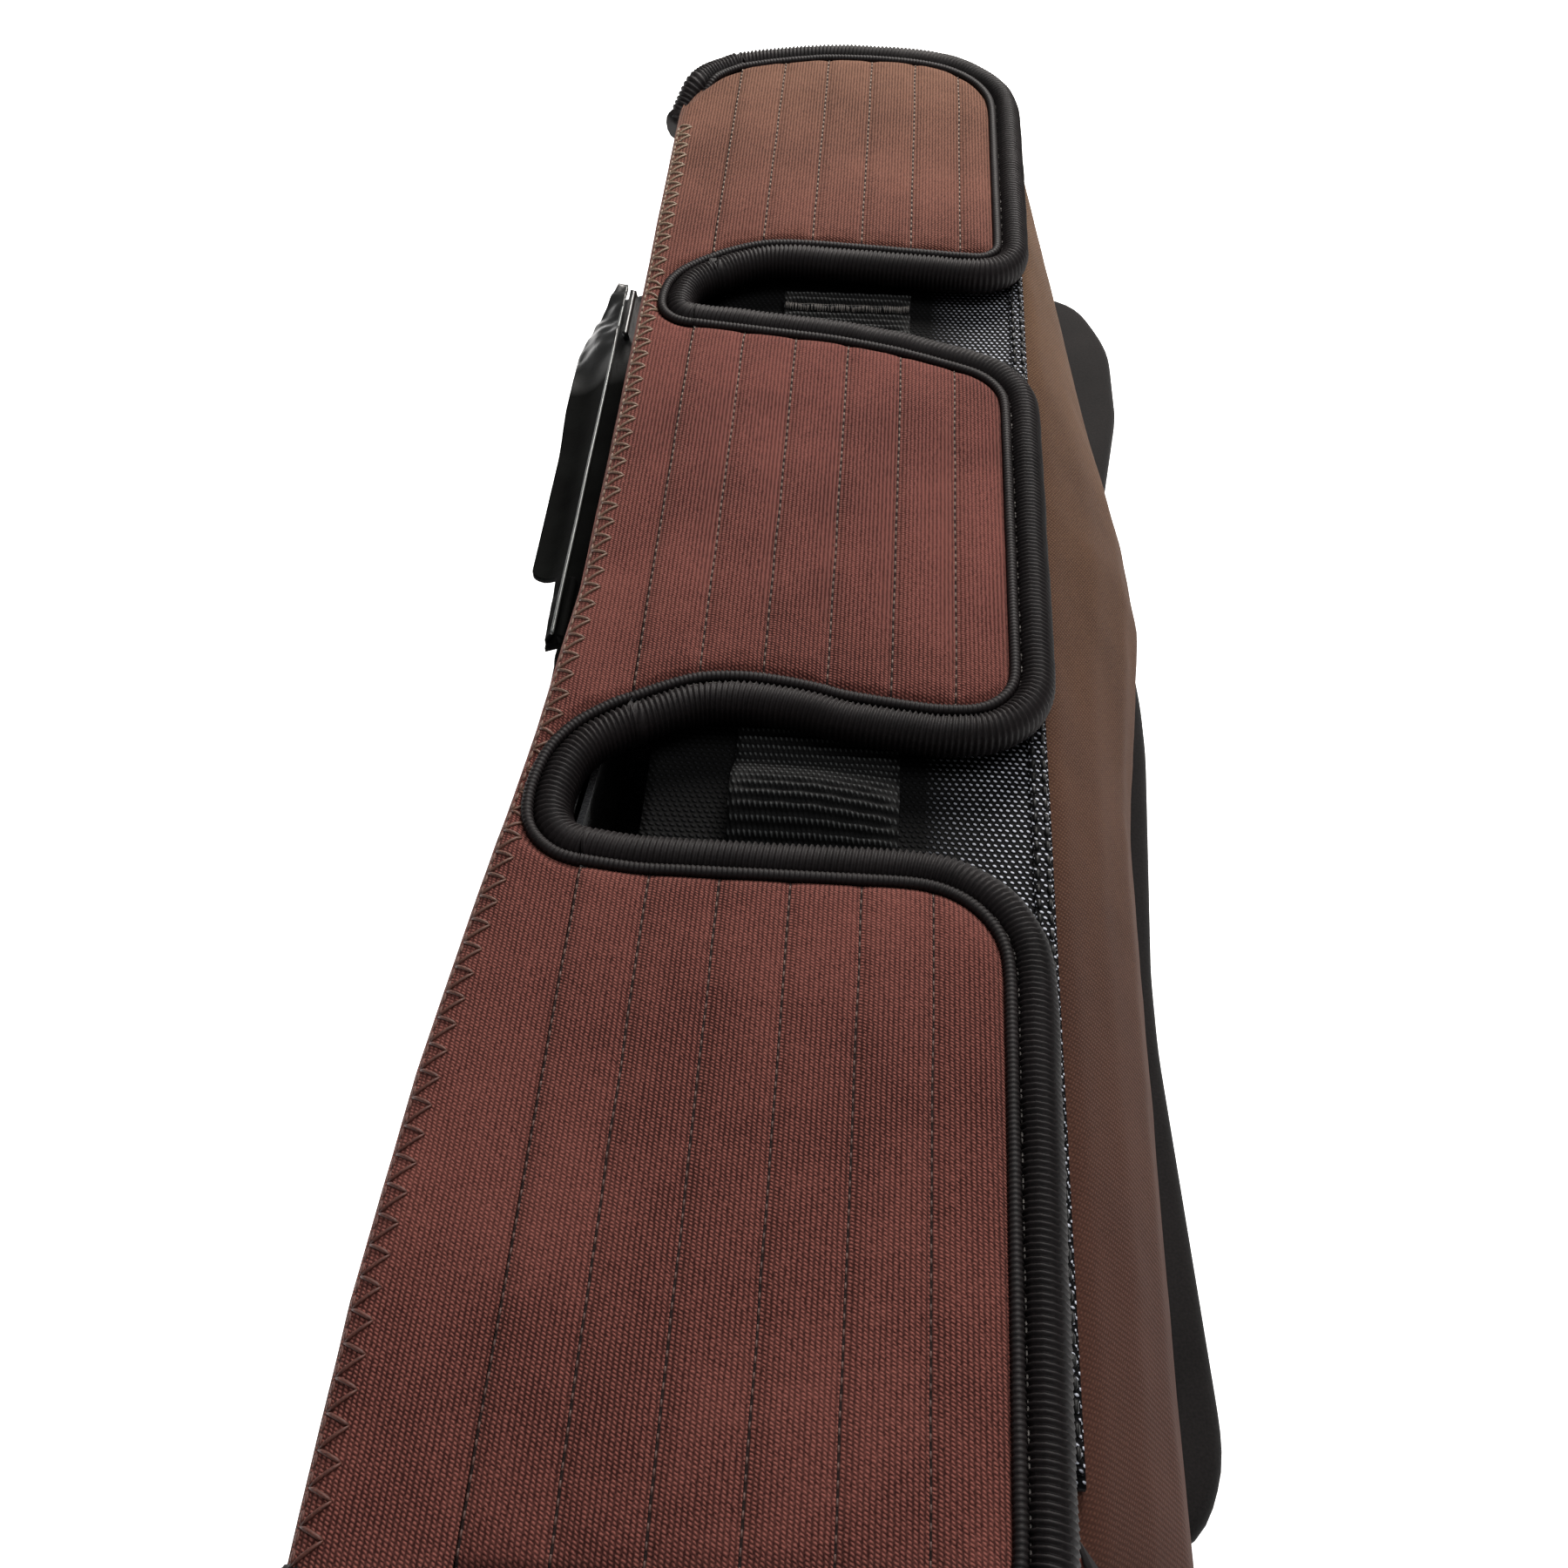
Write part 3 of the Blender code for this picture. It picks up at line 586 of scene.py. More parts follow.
# Side colours at the head end, lighter than at the foot: painted sheen and light.
SHEEN_LIT_HEAD_SIDE = ((0.040, 0.020, 0.010), (0.150, 0.086, 0.044))
MATERIALS = {
    "knit": knit_material("brown_knit", KNIT_DARK, KNIT_LIGHT),
    "knit_side": knit_material("brown_knit_side", *SHEEN_LIT_HEAD_SIDE, wale=0.0011, plane="slope", sheen=0.02, relief=0.32),
    "knit_end": knit_material("brown_knit_end", KNIT_DARK, KNIT_LIGHT, plane="XZ", relief=0.25),
    "binding": rib_material("ribbed_binding", (0.0020, 0.0012, 0.0013), (0.0115, 0.0078, 0.0082), 0.62, 1400.0),
    "black_knit": rib_material("black_knit", (0.0022, 0.0018, 0.0018), (0.0110, 0.0090, 0.0090), 0.9, 1500.0),
    "lining": fleece_material("brushed_lining", (0.010, 0.010, 0.011), (0.040, 0.040, 0.044), 1200.0),
    "fleece": fleece_material("looped_fleece", (0.012, 0.0105, 0.011), (0.072, 0.062, 0.066), 520.0),
    # The mesh is painted almost black left of lit=0.024, as shade under the flaps.
    "mesh": mesh_material("woven_mesh", 0.0016, (0.0030, 0.0030, 0.0035), (0.56, 0.58, 0.65), cover=0.68,
                          lit=0.024),
    "back_mesh": mesh_material("spacer_mesh", 0.0030, (0.004, 0.004, 0.0045), (0.045, 0.045, 0.05), 1.0, 0.40),
    "webbing": webbing_material("webbing", WEBBING_RIB),
    "vinyl": vinyl_material(),
    "foam": fleece_material("foam", (0.08, 0.08, 0.085), (0.16, 0.16, 0.165), 1600.0),
    "board": plastic_material("board", (0.45, 0.45, 0.43), 0.5),
    "plastic": plastic_material("buckle_plastic", (0.010, 0.010, 0.011), 0.42),
    # Threads lighter towards the head end and darker at the foot: painted light and shade.
    "thread_brown": head_lit_thread("brown_thread", ((0.050, 0.014, 0.009), (0.130, 0.040, 0.026)),
                                 ((0.120, 0.075, 0.045), (0.330, 0.230, 0.150))),
    "thread_light": rib_material("pale_thread", (0.05, 0.046, 0.043), (0.21, 0.19, 0.175), 0.6, 3000.0),
    # Dark threads laid just under the sewn lines: painted shade in the quilting grooves.
    "crease": rib_material("seam_groove_shade", (0.008, 0.0035, 0.003), (0.016, 0.007, 0.006), 0.9, 2000.0),
    "thread_quilt": head_lit_thread("quilting_thread", ((0.020, 0.007, 0.006), (0.120, 0.055, 0.042)),
                                 ((0.090, 0.055, 0.038), (0.340, 0.240, 0.170))),
    "thread_black": rib_material("black_thread", (0.002, 0.002, 0.002), (0.010, 0.010, 0.010), 0.5, 3000.0),
    "rim": plastic_material("vinyl_edge", (0.060, 0.065, 0.063), 0.30),
}


# --- The quilted front ------------------------------------------------------------------------

CHANNEL = 0.015                   # distance between sewn lines
CROWN = 0.0014                    # how far a channel puffs above its sewn lines
ARCH = 0.0009                     # broad rise of a whole finger between its edges
SEW_LEVEL = TOP - 0.0016          # level of the sewn lines
UNDER_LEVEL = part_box("upper_flap_lining")[0][2] + 0.0006
EDGE_DROP = 0.0022                # how far the cover dips into the groove of its binding
ROLL_WIDE = 0.0044                # half width and half height of a binding roll
ROLL_HIGH = 0.0052
ROLL_OUT = 0.0040                 # centre of the roll, out from the edge of the quilting
ROLL_LEVEL = TOP - 0.0052
RIB_PITCH = 0.00135
RIB_DEPTH = 0.00042
BEAD_RADIUS = 0.00135
BEAD_OUT = -0.0012
CHANNEL_LINES = 6


def channel_height(across):
    """Puffed profile over distance from the fold line: 0 on a sewn line, 1 in mid-channel."""
    share = np.mod(across / CHANNEL, 1.0)
    return 1 - np.abs(2 * share - 1) ** 5


def free_edge(node):
    """The outline of a finger from the foot end of its fold line round to the head end."""
    loop = plan_of(node)
    low = min(p.x for p in loop)
    on_fold = [p for p in loop if p.x < low + 1e-4]
    start = min(on_fold, key=lambda p: p.y)
    end = max(on_fold, key=lambda p: p.y)
    return round_off(chain_between(loop, start, end), 3)


def flap_surface(name, edge, columns=118, rows=150):
    """Grids of the top and the underside of one finger."""
    fold = edge[0].x
    loop = edge
    reach = max(p.x for p in edge)
    shares = np.linspace(0, 1, columns)
    xs = fold + (reach - fold - 0.00002) * (1 - (1 - shares) ** 1.25)
    top = np.zeros((columns, rows, 3))
    spread = np.linspace(0, 1, rows)
    spread = spread + 0.06 * np.sin(2 * np.pi * spread) * -1
    for i, x in enumerate(xs):
        low, high = span(loop, max(x, fold + 1e-6), 0)
        top[i, :, 0] = x
        top[i, :, 1] = low + (high - low) * spread
    x, y = top[..., 0], top[..., 1]
    across = x - fold
    seed = 10.0 * FLAP_NAMES.index(name)
    gap = distance_to(edge, x, y)
    last = CHANNEL * CHANNEL_LINES
    puff = np.where(across < last, channel_height(across), 0.0)
    beyond = np.clip((across - last) / 0.004, 0, 1)
    puff = np.where(across >= last, beyond * 0.8, puff)
    near_edge = smooth_ramp(gap / 0.0050)
    inland = smooth_ramp(gap / 0.0090)
    swell = CROWN * puff * inland + ARCH * smooth_ramp(gap / 0.0300)
    line_gap = np.minimum(np.mod(across, CHANNEL), CHANNEL - np.mod(across, CHANNEL))
    pucker = np.sin(2 * np.pi * y / 0.0054 + 4 * ripple(x, y, 60.0, seed))
    swell += 0.00010 * pucker * np.exp(-line_gap / 0.0022) * near_edge
    swell += 0.00050 * ripple(x, y, 30.0, seed + 3) * inland
    swell += 0.00016 * ripple(x, y, 110.0, seed + 7) * near_edge
    top[..., 2] = SEW_LEVEL + swell - EDGE_DROP * (1 - near_edge)
    bottom = top.copy()
    pinch = np.exp(-line_gap / 0.004) * 0.0010
    fold_rise = (SEW_LEVEL - UNDER_LEVEL - 0.0012) * (1 - smooth_ramp(across / 0.009))
    bottom[..., 2] = UNDER_LEVEL + np.maximum(pinch, fold_rise)
    bottom[..., 2] += 0.0015 * (1 - near_edge)
    return top, bottom


def sewn_lines(edge, top):
    """Paths on a finger's top grid along its sewn lines."""
    fold = edge[0].x
    paths = []
    tree = surface_tree(top)
    for line in range(CHANNEL_LINES):
        x = fold + CHANNEL * line + (0.0003 if line == 0 else 0)
        low, high = span(edge, x + 1e-5, 0)
        path = []
        for step in range(161):
            y = low + 0.0020 + (high - low - 0.004) * step / 160
            wander = 0.0002 * noise.noise(Vector((line * 3.1, y * 60, 0)))
            path.append(Vector((x + wander, y, drop_on(tree, x + wander, y))))
        paths.append(path)
    return paths


def surface_tree(grid):
    """A tree for casting rays at a grid."""
    columns, rows = grid.shape[:2]
    verts = [tuple(v) for v in grid.reshape(-1, 3)]
    return BVHTree.FromPolygons(verts, grid_faces(columns, rows))


def drop_on(tree, x, y, default=None):
    """The level of a surface under a point."""
    hit = tree.ray_cast(Vector((x, y, 0.5)), Vector((0, 0, -1)))[0]
    if hit is None:
        hit = tree.find_nearest(Vector((x, y, TOP)))[0]
    return hit.z


def ribbed_roll(path, wide, high, pitch, depth, sides=14, level=ROLL_LEVEL, seed=0.0, slant=0.0,
                drop=None):
    """A ribbed tube: the binding tape rolled over the edge, with ribs across it.

    drop gives how far the tube sinks at a plan point.
    """
    flat = resample(path, pitch / 4)
    points = [Vector((p.x, p.y, level - (drop(p) if drop else 0.0))) for p in flat]

    def ring(i):
        shape = []
        for k in range(sides):
            angle = 2 * math.pi * k / sides
            rib = math.cos(2 * math.pi * (i / 4 + slant * math.cos(angle)))
            uneven = noise.noise(Vector((i * 0.045, k * 0.35, seed)))
            swell = 1 + (depth * rib + 0.05 * uneven * high) / high
            shape.append((wide * swell * math.cos(angle), high * swell * math.sin(angle)))
        return shape

    return swept(points, ring)


def bind_edge(name, path, body, stitched=True, drop=None):
    """Roll, bead and groove stitches along one stretch of free edge."""
    outer = round_ends(pushed_out(path, ROLL_OUT), path)
    seed = sum(map(ord, name)) * 0.37
    made = piece(f"{name}_roll", *ribbed_roll(outer, ROLL_WIDE, ROLL_HIGH, RIB_PITCH, RIB_DEPTH,
                                              seed=seed, slant=0.45, drop=drop),
                 MATERIALS["binding"], "binding", body)
    inner = round_ends(pushed_out(path, BEAD_OUT), path)
    bead = ribbed_roll(inner, BEAD_RADIUS, BEAD_RADIUS, 0.0011, 0.00012, sides=8,
                       level=SEW_LEVEL - 0.0004, seed=seed, drop=drop)
    piece(f"{name}_bead", *bead, MATERIALS["binding"], "binding", body)
    if stitched:
        groove = [Vector((p.x, p.y, SEW_LEVEL - 0.0008)) for p in pushed_out(path, 0.0004)]
        piece(f"{name}_groove_stitches", *threads(stitch_runs(groove, 0.0024, 0.0022), 0.00020),
              MATERIALS["thread_light"], "binding", body)
    return made


def round_ends(moved, path):
    """Keeps the ends of a pushed-out chain on the fold lines that its own path ends at."""
    moved = list(moved)
    for index, step in ((0, 1), (-1, -1)):
        if abs(path[index].y - path[index + step].y) < abs(path[index].x - path[index + step].x):
            moved[index] = Vector((path[index].x, moved[index].y))
    return moved


def build_flap(name):
    """One finger: quilt, underside, stitches and binding."""
    edge = free_edge(f"{name}_cover")
    top, bottom = flap_surface(name, edge)
    quilt_base = bottom.copy()
    quilt_base[..., 2] = np.minimum(top[..., 2] - 0.0004, bottom[..., 2] + 0.0016)
    quilt = piece(f"{name}_quilt", *sheet_pair(top, quilt_base), MATERIALS["knit"], "brown_knit", name)
    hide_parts(f"{name}_cover", f"{name}_foam")
    under_top = quilt_base.copy()
    under_top[..., 2] -= 0.0001
    under = piece(f"{name}_underside", *sheet_pair(under_top, bottom), MATERIALS["lining"], "lining", name)
    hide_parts(f"{name}_lining")
    paths = sewn_lines(edge, top)
    # Thin dark tubes just below the sewn lines: painted shade along the quilting grooves.
    groove_shade_paths = [[p - Vector((0, 0, 0.00012)) for p in path] for path in paths]
    piece(f"{name}_seam_groove_shade_lines", *threads(groove_shade_paths, 0.00034), MATERIALS["crease"], "brown_knit", name)
    stitches = [run for path in paths for run in stitch_runs(path, 0.0019, 0.0009, 0.0001, 0.0006)]
    piece(f"{name}_quilting_stitches", *threads(stitches, 0.00026), MATERIALS["thread_quilt"],
          "brown_knit", name)
    roll = bind_edge(f"{name}_binding", edge, name)
    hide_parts(f"{name}_binding")
    return edge


edges = {name: build_flap(name) for name in FLAP_NAMES}


# --- The fixed left margin --------------------------------------------------------------------

margin_loop = plan_of("margin_cover")
folds = {name: (edges[name][0], edges[name][-1]) for name in FLAP_NAMES}
slot_paths = {
    "lower_slot": round_off(chain_between(margin_loop, folds["lower_flap"][1],
                                          folds["middle_flap"][0]), 3),
    "upper_slot": round_off(chain_between(margin_loop, folds["middle_flap"][1],
                                          folds["upper_flap"][0]), 3),
}


SHOULDER = 0.0055                 # rounding of the margin's left edge


head_low, head_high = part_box("margin_head_binding")
foot_low, foot_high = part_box("margin_foot_binding")
margin_foot = min(p.y for p in margin_loop)


def side_line(y):
    """Left edge of the margin at y, carried straight on past its rounded head corner."""
    return span(margin_loop, min(max(y, margin_foot + 1e-5), head_low[1] - 1e-4), 1)[0]


def end_path(start, end):
    """Part of the margin's outline between two places, rounded off."""
    return round_off(chain_between(margin_loop, start, end), 3)


END_PATHS = {
    "margin_head_binding": end_path(folds["upper_flap"][1], (side_line(0), head_low[1] + 0.020)),
    "margin_foot_binding": end_path((foot_low[0], foot_high[1]),
                                    (folds["lower_flap"][0].x - 0.002, folds["lower_flap"][0].y)),
}


def build_margin(rows=620, columns=26):
    """The padded strip between the left wall and the fold lines, rounded down on its left."""
    ys = [p.y for p in margin_loop]
    low, high = min(ys) + 1e-5, max(ys) - 1e-5
    top = np.zeros((columns, rows, 3))
    for j, y in enumerate(np.linspace(low, high, rows)):
        left, right = span(margin_loop, y, 1)
        top[:, j, 0] = left + (right - left) * np.linspace(0, 1, columns) ** 1.15
        top[:, j, 1] = y
    x, y = top[..., 0], top[..., 1]
    width = top[-1:, :, 0] - top[:1, :, 0]
    from_left = x - np.array([side_line(v) for v in top[0, :, 1]])
    from_right = top[-1:, :, 0] - x
    slots = np.minimum(distance_to(slot_paths["lower_slot"], x, y),
                       distance_to(slot_paths["upper_slot"], x, y))
    slots = np.minimum(slots, distance_to(END_PATHS["margin_head_binding"], x, y))
    fall = np.clip(1 - from_left / SHOULDER, 0, 1)
    round_down = SHOULDER * (1 - np.sqrt(np.clip(1 - fall ** 2, 0, 1)))
    to_fold = smooth_ramp(from_right / 0.0100)
    near_slot = smooth_ramp(slots / 0.0055)
    crown = 0.5 * CROWN * to_fold * near_slot + ARCH * smooth_ramp(slots / 0.0300) * 0.6
    crown += 0.0005 * ripple(x, y, 30.0, 50.0) * to_fold
    crown += 0.0002 * ripple(x, y, 110.0, 57.0) * to_fold
    top[..., 2] = SEW_LEVEL + crown - EDGE_DROP * (1 - near_slot) * (fall < 0.7) - round_down
    bottom = top.copy()
    rise = (SEW_LEVEL - UNDER_LEVEL - 0.0012) * (1 - smooth_ramp(from_right / 0.008))
    bottom[..., 2] = np.minimum(UNDER_LEVEL + rise, top[..., 2] - 0.0006)
    bottom[..., 0] = top[..., 0] + 0.001 * fall
    return top, bottom


margin_top, margin_bottom = build_margin()
margin = piece("margin_quilt", *sheet_pair(margin_top, margin_bottom), MATERIALS["knit"], "brown_knit")
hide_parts("margin_cover", "margin_foam")
for slot_name, slot_path in slot_paths.items():
    roll = bind_edge(f"{slot_name}_end_binding", slot_path, BAG, stitched=False)
    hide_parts(f"{slot_name}_end_binding")

margin_tree = surface_tree(margin_top)


def shoulder_drop(p):
    """How far an end binding sinks where it follows the margin's rounded shoulder."""
    fall = min(1.0, max(0.0, 1 - (p.x - side_line(p.y)) / SHOULDER))
    if p.y > 0:
        tuck = 0.0035 * smooth_ramp((head_low[1] + 0.029 - p.y) / 0.009)
    else:
        tuck = 0.0010 * smooth_ramp((p.x - folds["lower_flap"][0].x + 0.012) / 0.009)
    return SHOULDER * (1 - math.sqrt(1 - fall * fall)) * 0.8 + float(tuck)


for end_name, path in END_PATHS.items():
    roll = bind_edge(end_name, path, BAG, stitched=False, drop=shoulder_drop)
    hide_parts(end_name)


def shoulder_run(y_start, y_end, x_start, x_end, steps, lift):
    """Points on the margin between two places given by their distance from its left edge."""
    run = []
    for step in range(steps + 1):
        share = step / steps
        y = y_start + (y_end - y_start) * share
        x = side_line(y) + x_start + (x_end - x_start) * share
        run.append(Vector((x, y, drop_on(margin_tree, x, y) + lift)))
    return run


def zigzag():
    """Zigzag seam thread down the left shoulder of the margin, and its row of edge stitches."""
    pitch, near, far = 0.0060, 0.0018, 0.0064
    low = foot_high[1] + 0.002
    high = head_low[1] - 0.002
    count = int((high - low) / pitch)
    runs = []
    for k in range(count):
        y = low + pitch * k
        wander = 0.0003 * noise.noise(Vector((k * 1.7, 0, 3)))
        turn = y + pitch * 0.62
        runs.append(shoulder_run(y, turn, near, far + wander, 5, 0.00018))
        runs.append(shoulder_run(turn, y + pitch, far + wander, near, 5, 0.00018))
        runs.append(shoulder_run(y + 0.0004, y + pitch * 0.42, near, near, 3, 0.0001))
        runs.append(shoulder_run(y + pitch * 0.54, y + pitch * 0.92, near, near, 3, 0.0001))
    return runs


piece("margin_zigzag_seam", *threads(zigzag(), 0.00040, sides=6), MATERIALS["thread_brown"], "brown_knit")


# --- Walls ------------------------------------------------------------------------------------

WALLS = ("right_wall", "head_wall", "left_wall", "foot_wall")


def tree_of(*nodes):
    """One ray-casting tree over several nodes."""
    verts, faces = [], []
    for node in nodes:
        data = bpy.data.objects[node].data
        base = len(verts)
        verts += [v.co.copy() for v in data.vertices]
        faces += [tuple(base + i for i in p.vertices) for p in data.polygons]
    return BVHTree.FromPolygons(verts, faces)


wall_tree = tree_of(*WALLS)
plan = plan_of("back_panel")
plan_path = resample(round_off(plan + [plan[0]], 3), 0.004)[:-1]


def plan_normal(i):
    """Outward normal of the tub's plan at a station."""
    way = plan_path[(i + 2) % len(plan_path)] - plan_path[i - 2]
    return Vector((way.y, -way.x)).normalized()


def wall_grid():
    """Distance of the wall's outer face beyond the plan, at every station and level."""
    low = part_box("left_wall")[0][2]
    stations = len(plan_path)
    levels = np.linspace(0, 1, 30)
    rims = np.zeros(stations)
    reach = np.full((stations, len(levels)), np.nan)
    for i, point in enumerate(plan_path):
        normal = plan_normal(i)
        start = Vector((point.x, point.y, 0)) + Vector((normal.x, normal.y, 0)) * 0.12
        for level in (0.0884, 0.0880, 0.0872, 0.0864, 0.0856, 0.0848):
            start.z = level
            if wall_tree.ray_cast(start, -normal.to_3d(), 0.16)[0]:
                break
        rims[i] = level
    for _ in range(6):
        rims = (np.roll(rims, 1) + rims + np.roll(rims, -1)) / 3
    for i, point in enumerate(plan_path):
        normal = plan_normal(i)
        for j, share in enumerate(levels):
            level = low + 0.0003 + (rims[i] - low - 0.0006) * share
            start = Vector((point.x, point.y, level)) + normal.to_3d() * 0.12
            hit = wall_tree.ray_cast(start, -normal.to_3d(), 0.16)[0]
            if hit is not None:
                reach[i, j] = (hit - Vector((point.x, point.y, level))).dot(normal.to_3d())
    for j in range(len(levels)):
        column = reach[:, j]
        good = ~np.isnan(column)
        index = np.arange(stations)
        three = np.concatenate([index[good] - stations, index[good], index[good] + stations])
        reach[:, j] = np.interp(index, three, np.tile(column[good], 3))
    for _ in range(4):
        reach = (np.roll(reach, 1, 0) + 2 * reach + np.roll(reach, -1, 0)) / 4
    return levels, rims, reach


wall_levels, wall_rims, wall_reach = wall_grid()


def wall_body(name, first, last, material, slot, body=BAG, depth=0.0035, proud=0.0):
    """A padded wall between two stations: outer face, rolled rim, rolled foot, inner face."""
    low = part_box("left_wall")[0][2]
    outer, inner = [], []
    stations = len(plan_path)
    for i in range(first, last + 1):
        k = i % stations
        normal = plan_normal(k).to_3d()
        base = plan_path[k].to_3d()
        line, back = [], []
        for j, share in enumerate(wall_levels):
            level = low + (wall_rims[k] - low + 0.0008) * share
            lump = 0.0007 * noise.noise(Vector((base.x * 22, base.y * 22, level * 30)))
            lump += 0.00025 * noise.noise(Vector((base.x * 90, base.y * 90, level * 90)))
            roll = 0.0030 * (max(0.0, share - 0.93) / 0.07) ** 2
            tuck = 0.0030 * (max(0.0, 0.06 - share) / 0.06) ** 2
            out = wall_reach[k, j] + lump + proud - roll - tuck
            point = base + normal * out
            point.z = level
            line.append(point)
            under = base + normal * (out - depth + 0.6 * (roll + tuck))
            under.z = level
            back.append(under)
        outer.append(line)
        inner.append(back)
    made = piece(name, *sheet_pair(np.array(outer), np.array(inner)), material, slot, body)
    return made


def station_of(x, y):
    """The station nearest a plan point."""
    return nearest_index(plan_path, Vector((x, y)))


def corner_stations():
    """Stations of the four corner pipings, keyed by name."""
    found = {}
    for name in ("foot_right", "head_right", "head_left", "foot_left"):
        low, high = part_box(f"{name}_piping")
        middle = Vector(((low[0] + high[0]) / 2, (low[1] + high[1]) / 2))
        found[name] = station_of(*middle)
    return found


corners = corner_stations()
total_stations = len(plan_path)


def run_between(start, end):
    """Stations from one corner to the next, in the plan's own direction."""
    first, last = corners[start], corners[end]
    if last < first:
        last += total_stations
    return first, last


SIDES = {"right_wall": ("foot_right", "head_right", "knit_side"),
         "head_wall": ("head_right", "head_left", "knit_end"),
         "left_wall": ("head_left", "foot_left", "knit_side"),
         "foot_wall": ("foot_left", "foot_right", "knit_end")}
for wall, (start, end, look) in SIDES.items():
    first, last = run_between(start, end)
    made = wall_body(f"{wall}_cover", first, last, MATERIALS[look], "brown_knit")
    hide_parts(wall)
for name, station in corners.items():
    made = wall_body(f"{name}_corner_piping", station - 1, station + 1, MATERIALS["binding"], "binding",
                     depth=0.0045, proud=0.0014)
    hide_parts(f"{name}_piping")


# --- Apron and webbing ------------------------------------------------------------------------

def plate(name, node, material, slot, thick=None, lift=0.0, columns=40, rows=120, wave_size=0.0003,
          body=BAG, seed=0.0):
    """A thin cloth rectangle where its node lies, very slightly uneven."""
    low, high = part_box(node)
    top = np.zeros((columns, rows, 3))
    xs = np.linspace(low[0], high[0], columns)
    ys = np.linspace(low[1], high[1], rows)
    top[..., 0], top[..., 1] = np.meshgrid(xs, ys, indexing="ij")
    top[..., 2] = high[2] + lift + wave_size * ripple(top[..., 0], top[..., 1], 45.0, seed)
    bottom = top.copy()
    bottom[..., 2] -= thick or (high[2] - low[2])
    made = piece(name, *sheet_pair(top, bottom), material, slot, body)
    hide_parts(node)
    return made, top


apron_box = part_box("mesh_apron")
apron, apron_top = plate("mesh_apron_cloth", "mesh_apron", MATERIALS["mesh"], "mesh", seed=5.0)
tape, tape_top = plate("apron_edge_tape_cloth", "apron_edge_tape", MATERIALS["mesh"], "webbing",
                       columns=6, rows=220, wave_size=0.0001)
tape_tree = surface_tree(tape_top)
seams = []
for seam_x in (tape_top[1, 0, 0], tape_top[-2, 0, 0]):
    seam = [Vector((seam_x, y, drop_on(tape_tree, seam_x, y)))
            for y in np.linspace(apron_box[0][1] + 0.004, apron_box[1][1] - 0.004, 300)]
    seams += stitch_runs(seam, 0.0034, 0.0006, lift=0.0002, sink=0.0004)
piece("apron_edge_stitches", *threads(seams, 0.00055), MATERIALS["thread_black"], "webbing")
for name in FLAP_NAMES:
    plate(f"{name}_loop_pile", f"{name}_loop_strip", MATERIALS["fleece"], "fleece", columns=20, rows=60,
          seed=9.0)
    plate(f"{name}_hook_tape", f"{name}_hook_strip", MATERIALS["plastic"], "hook_tape", columns=20,
          rows=60, wave_size=0.0001, body=name)


def build_webbing():
    """Ribbed webbing along its node's own profile, tilted over the lower slot."""
    tree = tree_of("webbing_strap")
    low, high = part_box("webbing_strap")
    width = high[0] - low[0]
    rows, columns = 560, 30
    top = np.zeros((columns, rows, 3))
    for j, y in enumerate(np.linspace(low[1], high[1] - 0.0005, rows)):
        top[:, j, 0] = low[0] + width * np.linspace(0, 1, columns)
        top[:, j, 1] = y
        top[:, j, 2] = drop_on(tree, low[0] + width / 2, y)
    for _ in range(10):
        top[:, 1:-1, 2] = (top[:, :-2, 2] + 2 * top[:, 1:-1, 2] + top[:, 2:, 2]) / 4
    share = np.linspace(-1, 1, columns)[:, None]
    flat_level = apron_box[1][2]
    arch = np.clip((top[..., 2] - flat_level - 0.0030) / 0.0060, 0, 1) * (top[..., 1] < 0)
    top[..., 2] -= (0.0010 + 0.0024 * (share > 0)) * share * arch
    top[..., 2] += 0.0006 * (1 - share ** 2) * arch
    ribs = np.cos(2 * np.pi * top[..., 1] / WEBBING_RIB)
    twill = np.cos(2 * np.pi * (top[..., 0] / 0.0016 + top[..., 1] / WEBBING_RIB * 0.5))
    top[..., 2] += 0.00042 * np.abs(ribs) ** 0.6 * np.sign(ribs) * (1 - share ** 8)
    top[..., 2] += 0.00010 * twill
    bottom = top.copy()
    bottom[..., 2] -= 0.0016
    return top, bottom


webbing_top, webbing_bottom = build_webbing()
webbing = piece("webbing_carry_strap", *sheet_pair(webbing_top, webbing_bottom), MATERIALS["webbing"], "webbing")
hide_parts("webbing_strap")


def frayed_end():
    """Short pale filaments along the webbing's raw end, where it is folded back."""
    low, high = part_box("webbing_strap")
    start = high[1] - 0.0062
    tree = surface_tree(webbing_top)
    runs = []
    for k in range(70):
        x = low[0] + 0.0006 + (high[0] - low[0] - 0.0012) * k / 69
        tilt = 0.0008 * noise.noise(Vector((k * 0.9, 2, 0)))
        reach = 0.0011 + 0.0012 * abs(noise.noise(Vector((k * 1.3, 7, 0))))
        base = drop_on(tree, x, start + 0.0012)
        runs.append([Vector((x, start + 0.0010, base + 0.0001)),
                     Vector((x + tilt / 2, start, base)),
                     Vector((x + tilt, start - reach, base - 0.0007))])
    return threads(runs, 0.00020, sides=5)


piece("webbing_frayed_end", *frayed_end(), MATERIALS["thread_light"], "webbing")


# --- Pads and straps underneath ---------------------------------------------------------------

